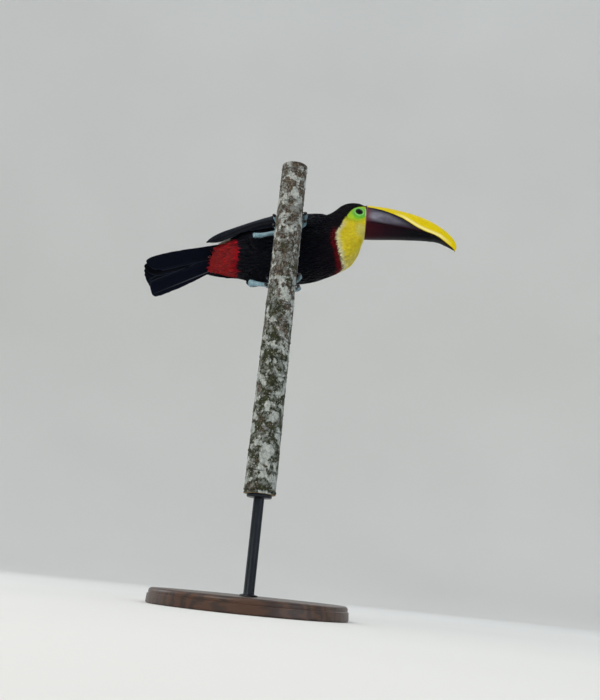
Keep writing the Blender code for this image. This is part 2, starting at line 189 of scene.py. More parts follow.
def cad_copy(*nodes):
    """A merged copy of CAD nodes, in millimetres."""
    bm = bmesh.new()
    for node in nodes:
        bm.from_mesh(frame["nodes"][node].data)
    bmesh.ops.scale(bm, vec=(1 / MM,) * 3, verts=bm.verts)
    bmesh.ops.remove_doubles(bm, verts=bm.verts, dist=0.01)
    return bm


def evaluated(bm, kind, **settings):
    """The bmesh after one modifier."""
    mesh = bpy.data.meshes.new("work")
    bm.to_mesh(mesh)
    work = bpy.data.objects.new("work", mesh)
    bpy.context.scene.collection.objects.link(work)
    modifier = work.modifiers.new(kind.title(), kind)
    for name, value in settings.items():
        setattr(modifier, name, value)
    graph = bpy.context.evaluated_depsgraph_get()
    result = bmesh.new()
    result.from_mesh(work.evaluated_get(graph).to_mesh())
    bpy.data.objects.remove(work)
    bpy.data.meshes.remove(mesh)
    return result


def places(bm):
    return np.array([vert.co for vert in bm.verts], float).reshape(-1, 3)


def move_to(bm, points):
    for vert, point in zip(bm.verts, points):
        vert.co = point


def normals_of(verts):
    return np.array([vert.normal for vert in verts])


def soften(bm, verts, times):
    """Evens points out with their neighbours."""
    for _ in range(times):
        bmesh.ops.smooth_vert(bm, verts=verts, factor=0.5, use_axis_x=True, use_axis_y=True,
                              use_axis_z=True)


def join_in(bm, other):
    """Adds another bmesh to this one and frees it."""
    mesh = bpy.data.meshes.new("work")
    other.to_mesh(mesh)
    other.free()
    bm.from_mesh(mesh)
    bpy.data.meshes.remove(mesh)


def tree_of(bm):
    """A search tree of a bmesh, which it frees."""
    tree = BVHTree.FromBMesh(bm)
    bm.free()
    return tree


def box_of(node):
    """The lowest corner, the highest corner and the middle of a CAD node, in millimetres."""
    low, high = (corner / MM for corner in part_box(node))
    return low, high, (low + high) / 2


def spun(outline, centre, steps, merge=0.001):
    """Spins an outline of radius and height pairs round an upright axis."""
    bm = bmesh.new()
    at = Vector((centre[0], centre[1], 0))
    verts = [bm.verts.new(at + Vector((radius, 0, height))) for radius, height in outline]
    edges = [bm.edges.new(pair) for pair in zip(verts, verts[1:])]
    bmesh.ops.spin(bm, geom=verts + edges, cent=at, axis=(0, 0, 1), angle=tau, steps=steps,
                   use_merge=True)
    bmesh.ops.remove_doubles(bm, verts=bm.verts, dist=merge)
    bmesh.ops.recalc_face_normals(bm, faces=bm.faces)
    return bm


def rounded_copy(node, levels, crease_angle=48):
    """A smooth skin through every point of a CAD node, with its sharp edges kept."""
    bm = cad_copy(node)
    bmesh.ops.join_triangles(bm, faces=bm.faces[:], angle_face_threshold=radians(30),
                             angle_shape_threshold=radians(60))
    crease = bm.edges.layers.float.new("crease_edge")
    for edge in bm.edges:
        if edge.calc_face_angle(0) > radians(crease_angle):
            edge[crease] = 1.0
    wanted = places(bm)
    settings = {"levels": levels, "render_levels": levels, "boundary_smooth": "ALL"}
    smooth = evaluated(bm, "SUBSURF", **settings)
    for _ in range(3):
        smooth.verts.ensure_lookup_table()
        reached = np.array([smooth.verts[i].co for i in range(len(wanted))])
        smooth.free()
        move_to(bm, places(bm) + wanted - reached)
        smooth = evaluated(bm, "SUBSURF", **settings)
    bm.free()
    smooth.verts.ensure_lookup_table()
    return smooth


def add_piece(name, source, surface, replaced=()):
    """Turns a bmesh or a mesh in millimetres into a piece that rides on the model."""
    if isinstance(source, bmesh.types.BMesh):
        mesh = bpy.data.meshes.new(name)
        source.to_mesh(mesh)
        source.free()
    else:
        mesh = source
        mesh.name = name
    mesh.transform(Matrix.Scale(MM, 4))
    for item in surface if isinstance(surface, (list, tuple)) else [surface]:
        mesh.materials.append(item)
    mesh.shade_smooth()
    piece = bpy.data.objects.new(name, mesh)
    bpy.context.scene.collection.objects.link(piece)
    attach(piece, "root")
    if replaced:
        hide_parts(*replaced)
    return piece


def store(mesh, name, kind, values):
    """Keeps one value for each point of a mesh."""
    layer = mesh.attributes.new(name, kind, "POINT")
    field = "color" if kind == "FLOAT_COLOR" else "value"
    layer.data.foreach_set(field, np.ascontiguousarray(values, np.float32).ravel())


def smoothstep(low, high, value):
    share = np.clip((value - low) / (high - low), 0, 1)
    return share * share * (3 - 2 * share)


def bell(value, middle, width):
    """A smooth hump, 1 at its middle."""
    return np.exp(-((value - middle) / width) ** 2)


def unit(vectors):
    """Vectors brought to length 1 along the last axis."""
    return vectors / np.maximum(np.linalg.norm(vectors, axis=-1, keepdims=True), 1e-6)


def mix(first, second, share):
    """Blends colours; share has one value for each row."""
    return np.asarray(first) + (np.asarray(second) - np.asarray(first)) * np.asarray(share)[..., None]


def read(table, value):
    """Reads a table of pairs with straight lines between them."""
    return np.interp(value, [row[0] for row in table], [row[1] for row in table])


def rumple(points, grain, seed=0):
    """Smooth noise between -1 and 1 at each point, with lumps about as big as grain."""
    offset = Vector((seed * 17.3, seed * 5.1, seed * 9.7))
    return np.array([noise.noise(Vector(point) / grain + offset) for point in points])


# ---------------------------------------------------------------- the bird's own directions


def body_slices():
    """The middle of the solids' upright slices at each x."""
    bm = cad_copy(*BODY)
    ends = np.array([[vert.co for vert in edge.verts] for edge in bm.edges])
    bm.free()
    stations, middles = [], []
    for x in np.arange(-144, 129, 6.0):
        crossing = (ends[:, 0, 0] - x) * (ends[:, 1, 0] - x) < 0
        first, second = ends[crossing, 0], ends[crossing, 1]
        share = (x - first[:, 0]) / (second[:, 0] - first[:, 0])
        cut = first + (second - first) * share[:, None]
        stations.append(x)
        middles.append((cut.min(0) + cut.max(0)) / 2)
    return np.array(stations), np.array(middles)


SLICE_X, SLICE_MIDDLE = body_slices()


def axis_point(x):
    return np.stack([x, np.interp(x, SLICE_X, SLICE_MIDDLE[:, 1]),
                     np.interp(x, SLICE_X, SLICE_MIDDLE[:, 2])], -1)


def slice_frame(x):
    """Unit vectors towards the back's ridge and the bird's right at x."""
    roll = np.radians(read(ROLL_AT, x))
    zero = np.zeros_like(roll)
    up = np.stack([zero, np.sin(roll), np.cos(roll)], -1)
    right = np.stack([zero, -np.cos(roll), np.sin(roll)], -1)
    return up, right


def turn_about(points):
    """Degrees from the back's ridge towards the bird's right, and distance from the axis."""
    out = points - axis_point(points[:, 0])
    up, right = slice_frame(points[:, 0])
    rise, side = (out * up).sum(-1), (out * right).sum(-1)
    return np.degrees(np.arctan2(side, rise)), np.hypot(rise, side)


def eye_axes():
    """The middle between the eyes and the face's own axes."""
    right, left = [sum(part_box(side + "_eye"), Vector()) / 2 / MM for side in ("right", "left")]
    y = (left - right).normalized()
    x = y.cross(Vector((0, 0, 1))).normalized()
    return (right + left) / 2, (left - right).length / 2, np.array((x, y, x.cross(y)))


FACE_AT, EYE_OUT, FACE_AXES = eye_axes()


def to_face(points):
    return (np.asarray(points) - np.array(FACE_AT)) @ FACE_AXES.T


def from_face(points):
    return np.asarray(points) @ FACE_AXES + np.array(FACE_AT)


def gaze(sign):
    """The way an eye looks; sign is 1 on the left."""
    out = Vector((sin(radians(GAZE_FORWARD)), sign * 0.95, sin(radians(GAZE_UP)))).normalized()
    return np.array(out) @ FACE_AXES


def eye_centre(sign):
    return from_face((0, sign * EYE_OUT, 0))


def along_surface(way, normals):
    """Directions laid flat on the surface; the second result is how steeply each met it."""
    way = unit(way)
    steep = (way * normals).sum(-1)
    return unit(way - normals * steep[:, None]), np.abs(steep)


def lie(points, normals):
    """The way the feathers point: back along the body, flat on the surface."""
    step = 4.0
    x = points[:, 0]
    way = axis_point(x - step) - axis_point(x + step)
    face = to_face(points)
    crown = smoothstep(-34, -8, face[:, 0]) * smoothstep(-12, 2, face[:, 2])
    level = np.array((-1.0, 0.05, -0.12)) * np.linalg.norm(way, axis=1)[:, None]
    way = way * (1 - crown)[:, None] + level * crown[:, None]
    return along_surface(way, normals)


# ---------------------------------------------------------------- markings, shared by skin and coat


def bib_reach(points):
    """How far a point lies inside the black's edge on the face and bib, in millimetres."""
    angle, radius = turn_about(points)
    behind = points[:, 0] - read(BLACK_EDGE, np.abs(angle))
    under_crown = radius * np.radians(np.abs(angle) - CROWN_EDGE)
    return np.minimum(behind, under_crown)


def bare_reach(points):
    """How far a point lies inside the bare skin round the eye, in millimetres."""
    face = to_face(points)
    before, behind, over, under = BARE_SKIN
    across = face[:, 0] / np.where(face[:, 0] > 0, before, behind)
    rise = (face[:, 2] - face[:, 0] * 0.25) / np.where(face[:, 2] > 0, over, under)
    return np.minimum(over * (1 - np.hypot(across, rise)), bib_reach(points) + 1.0)


def crissum_reach(points):
    """How far a point lies inside the red under the tail."""
    angle, radius = turn_about(points)
    front = read(RED_EDGE, np.abs(angle)) - points[:, 0]
    edge = read(CRISSUM_EDGE, points[:, 0])
    return np.minimum(front, radius * np.radians(np.abs(angle) - edge))


def rump_reach(points):
    angle, radius = turn_about(points)
    edge = read(CRISSUM_EDGE, points[:, 0])
    return np.minimum(RUMP_FROM - points[:, 0], radius * np.radians(edge - np.abs(angle)))


def markings(points):
    """The colour of skin and feathers at each point, as linear red, green and blue."""
    hues = colours()
    bib, red = bib_reach(points), crissum_reach(points)
    angle, _ = turn_about(points)
    face = to_face(points)
    mottle = rumple(points, 9.0, 1)
    paint = np.tile(np.array(hues.black), (len(points), 1))
    paint = mix(paint, linear("#12070C"), smoothstep(45, 75, points[:, 0]) * 0.6)
    belly = smoothstep(88, 118, np.abs(angle))
    band = smoothstep(-11, -6.5, bib + mottle * 1.5) * belly
    paint = mix(paint, hues.band, band)
    yellow = mix(hues.bib, linear("#D9BE1C"), np.clip(mottle * 0.9, 0, 1))
    pale = 1 - smoothstep(1.5, 10.5, bib + mottle * 2.0)
    pale = np.maximum(pale * smoothstep(50, 100, np.abs(angle)), 0.3 * smoothstep(150, 175, np.abs(angle)))
    yellow = mix(yellow, hues.bib_edge, pale)
    chin = smoothstep(-6, 4, face[:, 0]) * smoothstep(-18, -28, face[:, 2]) * smoothstep(-50, -36, face[:, 2])
    yellow = mix(yellow, linear("#E6E28C"), chin * 0.6)
    near_skin = smoothstep(-9, 1.5, bare_reach(points))
    yellow = mix(yellow, hues.lime_edge, near_skin * 0.8)
    paint = mix(paint, yellow, smoothstep(-0.8, 0.8, bib + mottle * 0.5))
    reach = np.hypot(face[:, 0], face[:, 2])
    lime = mix(hues.lime, hues.lime_edge, smoothstep(9.5, 16.5, reach + mottle - face[:, 0] * 0.12))
    paint = mix(paint, lime, smoothstep(-0.3, 0.6, bare_reach(points)))
    shadow = np.clip(0.35 - mottle, 0, 1) + smoothstep(6, 0, red) * 0.5
    crimson = mix(hues.crissum, linear("#5E0510"), np.clip(shadow, 0, 1) * 0.75)
    paint = mix(paint, crimson, smoothstep(-0.8, 0.8, red + mottle * 1.2))
    return mix(paint, hues.rump, smoothstep(-0.8, 0.8, rump_reach(points) + mottle))


# ---------------------------------------------------------------- the skin


class Form:
    """The bird's outer form as one closed skin, with what feathers need at each of its points."""

    def __init__(self):
        sides = [side + part for side in ("right", "left")
                 for part in ("_thigh", "_wing_coverts", "_eye")]
        solids = bmesh.new()
        for node in (*BODY, *sides, "bill_upper", "bill_lower"):
            piece = cad_copy(node)
            if node.startswith("bill"):
                self.keep_root(piece)
            piece.normal_update()
            move_to(piece, [vert.co + vert.normal * SWELL for vert in piece.verts])
            join_in(solids, piece)
        self.bm = evaluated(solids, "REMESH", mode="VOXEL", voxel_size=sizes().skin_grain)
        solids.free()
        self.keep_largest()
        soften(self.bm, self.bm.verts, 16)
        self.bm.normal_update()
        self.outer = places(self.bm) - normals_of(self.bm.verts) * DRAW_IN
        self.outer[:, 0] -= np.minimum(self.outer[:, 0] - REAR, 0) * REAR_SHARE
        face = to_face(self.outer)
        # The crown and nape are fluffed out over their solids, most of all behind the eyes.
        full = smoothstep(28, 62, self.outer[:, 0]) * smoothstep(10, 0, face[:, 0])
        full *= smoothstep(2, -6, bib_reach(self.outer))
        full *= smoothstep(100, 70, np.abs(turn_about(self.outer)[0]))
        self.full = full * (1.6 + 1.3 * bell(face[:, 0], -45, 24))
        face += (normals_of(self.bm.verts) @ FACE_AXES.T) * self.full[:, None]
        face[:, 0] = np.minimum(face[:, 0], BILL_BASE + 0.6)
        self.outer = from_face(face)
        move_to(self.bm, self.outer)
        self.bm.normal_update()
        self.normals = normals_of(self.bm.verts)
        self.tree = BVHTree.FromBMesh(self.bm)
        self.tail_tree = self.tree_with("tail")
        self.leg_tree = self.tree_with("right_tarsus", "left_tarsus")
        self.zones()
        corners = [[vert.index for vert in face.verts] for face in self.bm.faces]
        quads = [corner for corner in corners if len(corner) == 4]
        triangles = [corner for corner in corners if len(corner) == 3]
        triangles += [(a, b, c) for a, b, c, _ in quads] + [(a, c, d) for a, _, c, d in quads]
        self.triangles = np.array(triangles)

    def tree_with(self, *nodes):
        """A search tree of CAD nodes and the form together."""
        bm = cad_copy(*nodes)
        join_in(bm, self.bm.copy())
        return tree_of(bm)

    def keep_root(self, bm):
        """Cuts a mandible off a little way before the face, so that the skin reaches its root."""
        cut = Vector(from_face((BILL_BASE + 3.5, 0, 0)))
        bmesh.ops.bisect_plane(bm, geom=bm.verts[:] + bm.edges[:] + bm.faces[:], plane_co=cut,
                               plane_no=Vector(FACE_AXES[0]), clear_outer=True)
        bmesh.ops.holes_fill(bm, edges=[edge for edge in bm.edges if edge.is_boundary])

    def keep_largest(self):
        """Drops small shells that the remesh may leave inside."""
        unseen, largest = set(self.bm.verts), []
        while unseen:
            shell, front = [], [unseen.pop()]
            while front:
                vert = front.pop()
                shell.append(vert)
                for edge in vert.link_edges:
                    other = edge.other_vert(vert)
                    if other in unseen:
                        unseen.remove(other)
                        front.append(other)
            largest = max(largest, shell, key=len)
        stray = set(self.bm.verts) - set(largest)
        bmesh.ops.delete(self.bm, geom=list(stray), context="VERTS")
        self.bm.verts.ensure_lookup_table()
        self.bm.verts.index_update()

    def zones(self):
        """Works out which coat grows at each point, and how deep it is."""
        points = self.outer
        self.reach = np.linalg.norm(to_face(points) - (BILL_BASE, 0, -10), axis=1)
        self.bare = bare_reach(points)
        self.bib = bib_reach(points)
        self.red = crissum_reach(points)
        self.white = rump_reach(points)
        self.angle, _ = turn_about(points)
        self.wing = self.near(points, "right_wing_coverts", "left_wing_coverts") < 1.6
        thighs = self.near(points, "right_thigh", "left_thigh") < 1.2
        self.thigh = thighs & (self.near(points, "torso") > 1.5) & ~self.wing
        depth = np.interp(self.reach, (19, 30, 50, 95), (0.5, 1.0, 2.0, sizes().coat_depth))
        depth = np.where(self.wing, 1.7, depth)
        depth = np.where(self.thigh, 2.2, depth)
        depth *= smoothstep(3.0, -3.0, self.bare)
        self.depth = self.settle(depth + self.full * 0.8, 6)
        size = np.interp(self.reach, (18, 26, 45, 75, 120), (0.2, 0.27, 0.42, 0.68, 1.0))
        size *= np.interp(points[:, 0], (-122, -98), (0.42, 1.0))
        heel = self.near(points, "right_tarsus", "left_tarsus")
        self.size = np.where(self.thigh, size * np.interp(heel, (1, 14), (0.45, 1.0)), size)

    def near(self, points, *nodes):
        """Distance of each point from CAD nodes."""
        tree = tree_of(cad_copy(*nodes))
        return np.array([tree.find_nearest(Vector(point))[3] for point in points])

    def settle(self, values, times):
        """Evens out a value over the skin."""
        pairs = np.array([[vert.index for vert in edge.verts] for edge in self.bm.edges])
        count = np.bincount(pairs.ravel(), minlength=len(values))
        for _ in range(times):
            total = (np.bincount(pairs[:, 0], values[pairs[:, 1]], len(values))
                     + np.bincount(pairs[:, 1], values[pairs[:, 0]], len(values)))
            values = values / 2 + total / np.maximum(count, 1) / 2
        return values

    def scatter(self, chosen, spacing, seed):
        """Picks roots where chosen is true, at least spacing apart; spacing is one value per point."""
        draw = np.random.default_rng(seed)
        inside = chosen[self.triangles].all(axis=1)
        triangles = self.triangles[inside]
        if not len(triangles):
            return np.empty((0, 3), int), np.empty((0, 3))
        a, b, c = [self.outer[triangles[:, i]] for i in range(3)]
        area = np.linalg.norm(np.cross(b - a, c - a), axis=1) / 2
        gap = spacing[triangles].mean(axis=1)
        wanted = area / gap**2
        tries = int(wanted.sum() * TRIES)
        pick = draw.choice(len(triangles), tries, p=wanted / wanted.sum())
        share = np.sqrt(draw.random(tries))
        slide = draw.random(tries)
        weights = np.stack([1 - share, share * (1 - slide), share * slide], -1)
        spots = (self.outer[triangles[pick]] * weights[:, :, None]).sum(1)
        reach = gap[pick]
        cell = reach.max()
        filled, kept = {}, []
        cells = np.floor(spots / cell).astype(int)
        for i in range(tries):
            x, y, z = cells[i]
            spot, limit = spots[i], (reach[i] * CROWDING) ** 2
            crowded = False
            for key in ((x + dx, y + dy, z + dz) for dx in (-1, 0, 1) for dy in (-1, 0, 1)
                        for dz in (-1, 0, 1)):
                for other in filled.get(key, ()):
                    gap_x, gap_y, gap_z = spot[0] - other[0], spot[1] - other[1], spot[2] - other[2]
                    if gap_x * gap_x + gap_y * gap_y + gap_z * gap_z < limit:
                        crowded = True
                        break
                if crowded:
                    break
            if not crowded:
                filled.setdefault((x, y, z), []).append(spot)
                kept.append(i)
        return triangles[pick[kept]], weights[kept]

    def blend(self, values, corners, weights):
        picked = values[corners]
        if picked.ndim == 3:
            return (picked * weights[:, :, None]).sum(1)
        return (picked * weights).sum(1)

    def onto(self, points, tree=None):
        """The nearest points of the outer form and its normals there."""
        spots, normals = np.empty_like(points), np.empty_like(points)
        tree = tree or self.tree
        for i, point in enumerate(points):
            spot, normal, _, _ = tree.find_nearest(Vector(point))
            spots[i] = spot
            normals[i] = normal
        return spots, normals


@cache
def form():
    """The bird's outer form, made once."""
    return Form()


# The lids and the ring round an eye: distance from its axis, and height over the ball's centre.
LID_PROFILE = ((0, 6.2), (3.5, 5.5), (5.2, 4.2), (5.62, 4.0), (5.8, 4.75), (6.0, 5.12), (6.3, 5.22),
               (6.6, 4.98), (6.85, 4.62), (7.2, 4.72), (7.7, 4.95), (8.3, 4.86), (8.9, 4.45),
               (9.6, 4.1), (11, 3.95), (13, 3.9))


def open_lids(bm):
    """Folds the skin in round both eyes and raises the lids and the granular ring."""
    for sign in (-1, 1):
        centre, way = eye_centre(sign), gaze(sign)
        for radius in (16, 12.5, 10.5):
            near = [vert for vert in bm.verts if (vert.co - Vector(centre)).length < radius + 3]
            inside = {vert for vert in near if np.linalg.norm(np.cross(np.array(vert.co) - centre, way))
                      < radius and (np.array(vert.co) - centre) @ way > 0}
            edges = [edge for edge in bm.edges if edge.verts[0] in inside and edge.verts[1] in inside]
            bmesh.ops.subdivide_edges(bm, edges=edges, cuts=1, use_grid_fill=True)
        bm.verts.ensure_lookup_table()
        near = [vert for vert in bm.verts if (vert.co - Vector(centre)).length < 19]
        soften(bm, near, 8)
        across = Vector(way).cross(Vector((0, 0, 1))).normalized()
        over = across.cross(Vector(way))
        for vert in near:
            out = vert.co - Vector(centre)
            height = out.dot(Vector(way))
            flat = out - Vector(way) * height
            distance = flat.length
            if height < 0 or distance > 14:
                continue
            turn = np.arctan2(flat.dot(over), flat.dot(across))
            wanted = read(LID_PROFILE, distance)
            blend = 1 - float(smoothstep(9.0, 13.5, distance))
            grain = 0.10 * noise.noise(vert.co / 0.55) * float(smoothstep(6.7, 7.4, distance))
            fold = 0.07 * sin(turn * 26 + 3 * noise.noise(vert.co / 3)) * blend
            fold *= float(smoothstep(6.4, 6.9, distance))
            raised = height + (wanted - height) * blend + grain + fold
            vert.co = Vector(centre) + flat + Vector(way) * raised


# ---------------------------------------------------------------- materials


def wire(node, *firsts, **settings):
    """Sets a node's properties and sockets, or links the sockets.

    firsts fill its sockets in order. settings name its properties and sockets, with _ for a space.
    Each is a value, a hex colour, or the node or output that the socket is linked to.
    """
    for name, value in [*settings.items(), *enumerate(firsts)]:
        socket = name.replace("_", " ") if isinstance(name, str) else name
        if isinstance(value, bpy.types.Node):
            value = next(output for output in value.outputs if output.enabled)
        elif isinstance(value, str) and value.startswith("#"):
            value = (*linear(value), 1)
        elif isinstance(value, Color):
            value = (*value, 1)
        if isinstance(socket, str) and socket not in node.inputs:
            setattr(node, name, value)
        elif isinstance(value, bpy.types.NodeSocket):
            node.id_data.links.new(value, node.inputs[socket])
        else:
            node.inputs[socket].default_value = value
    return node


def add_node(tree, kind, *firsts, mm=None, stretch=None, stops=(), **settings):
    """Adds a node with its settings and links, given as wire takes them.

    mm is the size of a pattern's lumps on Object coordinates, which stretch scales along each axis.
    stops are a colour ramp's places and hex colours.
    """
    if mm:
        settings["Vector"] = add_node(tree, "TexCoord").outputs["Object"]
        settings["Scale"] = 1 / (mm * MM)
    if stretch:
        settings["Vector"] = add_node(tree, "Mapping", settings["Vector"], Scale=stretch)
    node = wire(tree.nodes.new("ShaderNode" + kind), *firsts, **settings)
    for i, (position, hex_colour) in enumerate(stops):
        stones = node.color_ramp.elements
        stone = stones[i] if i < len(stones) else stones.new(position)
        stone.position, stone.color = position, (*linear(hex_colour), 1)
    return node


def new_material(name, **sockets):
    """A Principled material; each keyword sets one of the shader's own sockets."""
    surface = bpy.data.materials.new(name)
    surface.use_nodes = True
    wire(surface.node_tree.nodes["Principled BSDF"], **sockets)
    return surface, surface.node_tree


def finish(surface, tint, relief=None, strength=1.0, depth=0.0, **links):
    """Gives a material its colour, and a bump from a relief whose depth is in millimetres."""
    tree = surface.node_tree
    if relief:
        links["Normal"] = add_node(tree, "Bump", Strength=strength, Distance=depth * MM,
                                   Height=relief)
    wire(tree.nodes["Principled BSDF"], Base_Color=tint, **links)
    return surface


def paint_over(tree, tint, *coats):
    """Lays colours over one another.

    Each coat is a colour, the value that brings it on, where that value starts and ends the change,
    and how much the coat covers from there.
    """
    for colour, value, low, high, most in coats:
        share = add_node(tree, "MapRange", value, low, high, 0.0, most)
        tint = add_node(tree, "Mix", data_type="RGBA", Factor=share, A=tint, B=colour)
    return tint


def barbed(tree, slant, barbs, weight, rough):
    """Barbs that slant off a feather's shaft, over a rough ground.

    Gives how far a point is off the shaft, how far along it, and the relief.
    """
    vane = add_node(tree, "UVMap", uv_map="Vane")
    across, along, _ = add_node(tree, "SeparateXYZ", vane).outputs
    off = add_node(tree, "Math", across, 0.5, operation="SUBTRACT")
    off = add_node(tree, "Math", off, operation="ABSOLUTE")
    wave = add_node(tree, "Math", off, slant, along, operation="MULTIPLY_ADD")
    wave = add_node(tree, "Math", wave, barbs, operation="MULTIPLY")
    wave = add_node(tree, "Math", wave, operation="SINE")
    return off, along, add_node(tree, "Math", wave, weight, rough, operation="MULTIPLY_ADD")


def plumage(name, roughness, sheen, sheen_tint, gloss, vary_by=0.2):
    """Keratin vanes of barbs zipped together: soft, with a fine grain that slants off the shaft.

    The colour comes from the markings, varied a little from feather to feather and to the tips.
    Barbs are drawn 0.4 mm apart, coarser than in life, so that they show.
    """
    surface, tree = new_material(name, Roughness=roughness, Sheen_Weight=sheen, Sheen_Roughness=0.4,
                                 Sheen_Tint=sheen_tint, Specular_IOR_Level=gloss, IOR=1.54)
    fine = add_node(tree, "TexNoise", mm=0.9, Detail=3.0, Roughness=0.6)
    _, along, relief = barbed(tree, -1.6, 150.0, 0.5, fine)
    shade = add_node(tree, "Attribute", attribute_name="Shade").outputs["Fac"]
    vary = add_node(tree, "MapRange", shade, 0, 1, 1 - vary_by, 1 + vary_by * 0.6)
    tip = add_node(tree, "MapRange", along, 0.5, 1, 1, 1 + vary_by * 0.5)
    strength = add_node(tree, "Math", vary, tip, operation="MULTIPLY")
    marking = add_node(tree, "Attribute", attribute_name="Marking")
    tint = add_node(tree, "VectorMath", marking, operation="SCALE", Scale=strength)
    return finish(surface, tint, relief, 0.45, 0.12)


def quill_surface():
    """Flight feathers: long glossy black vanes with a horn shaft down the middle.

    The barbs slant off the shaft 0.6 mm apart, coarser than in life, and catch a blue sheen. The
    margins are painted greyer, a painted highlight on their glossy edges with some wear, and the
    shaft shows from below.
    """
    surface, tree = new_material("glossy_flight_feathers", Roughness=0.46, Sheen_Weight=0.03,
                                 Sheen_Roughness=0.35, Sheen_Tint="#5F78C0",
                                 Specular_IOR_Level=0.03, IOR=1.54)
    ruffle = add_node(tree, "TexNoise", mm=5, Detail=4.0, Roughness=0.6)
    off, along, relief = barbed(tree, -0.16, 800.0, 0.35, ruffle)
    shade, under = (add_node(tree, "Attribute", attribute_name=name).outputs["Fac"]
                    for name in ("Shade", "Underside"))
    tone = add_node(tree, "Math", shade, 0.5, 0.1, operation="MULTIPLY_ADD")
    tone = add_node(tree, "Math", ruffle, 0.5, tone, operation="MULTIPLY_ADD")
    vane = add_node(tree, "ValToRGB", tone,
                    stops=((0.2, "#020307"), (0.55, "#05070E"), (0.9, "#090E1C")))
    shaft = add_node(tree, "MapRange", off, 0.012, 0.032, 1.0, 0.0)
    fades = add_node(tree, "MapRange", along, 0.5, 0.85, 1.0, 0.25)
    for share in (under, fades):
        shaft = add_node(tree, "Math", shaft, share, operation="MULTIPLY")
    # The greyer margins are a painted highlight on the glossy edges, with some wear.
    tint = paint_over(tree, vane, ("#343C4C", off, 0.465, 0.495, 0.8), ("#8C8F96", shaft, 0, 1, 1))
    return finish(surface, tint, relief, 0.5, 0.16)


def skin_surface():
    """Living skin: lime and finely wrinkled round the eyes, dull under the feathers."""
    surface, tree = new_material("bare_facial_skin", Roughness=0.5, Subsurface_Weight=0.12,
                                 Subsurface_Radius=(0.6, 0.8, 0.3), Subsurface_Scale=0.0012,
                                 Specular_IOR_Level=0.35, IOR=1.4)
    patches = add_node(tree, "TexNoise", mm=3.2, Detail=3.0, Roughness=0.6)
    tone = add_node(tree, "MapRange", patches, 0.3, 0.7, 0.82, 1.14)
    marking = add_node(tree, "Attribute", attribute_name="Marking")
    tint = add_node(tree, "VectorMath", marking, operation="SCALE", Scale=tone)
    grain = add_node(tree, "TexNoise", mm=0.7, Detail=4.0, Roughness=0.65)
    scales = add_node(tree, "TexVoronoi", mm=0.75, Randomness=0.9)
    relief = add_node(tree, "Math", scales, 0.6, grain, operation="MULTIPLY_ADD")
    return finish(surface, tint, relief, 0.5, 0.12)


def eye_surface():
    """A wet dark eye: brown iris with fine streaks, black pupil and a clear cornea's gloss."""
    surface, tree = new_material("wet_dark_eye", Roughness=0.5, Coat_Weight=0.28, Coat_Roughness=0.03,
                                 Coat_IOR=1.34, Specular_IOR_Level=0.05)
    streaks = add_node(tree, "TexNoise", add_node(tree, "UVMap", uv_map="Iris"), Scale=22.0, Detail=3.0)
    spread = add_node(tree, "Math", streaks, 0.05, -0.025, operation="MULTIPLY_ADD")
    ring = add_node(tree, "Attribute", attribute_name="Ring").outputs["Fac"]
    place = add_node(tree, "Math", ring, spread, operation="ADD")
    tint = add_node(tree, "ValToRGB", place,
                    stops=((0.0, "#020202"), (0.42, "#020202"), (0.47, "#0E0805"), (0.62, "#150D08"),
                           (0.74, "#0C0705"), (0.84, "#040303")))
    return finish(surface, tint)


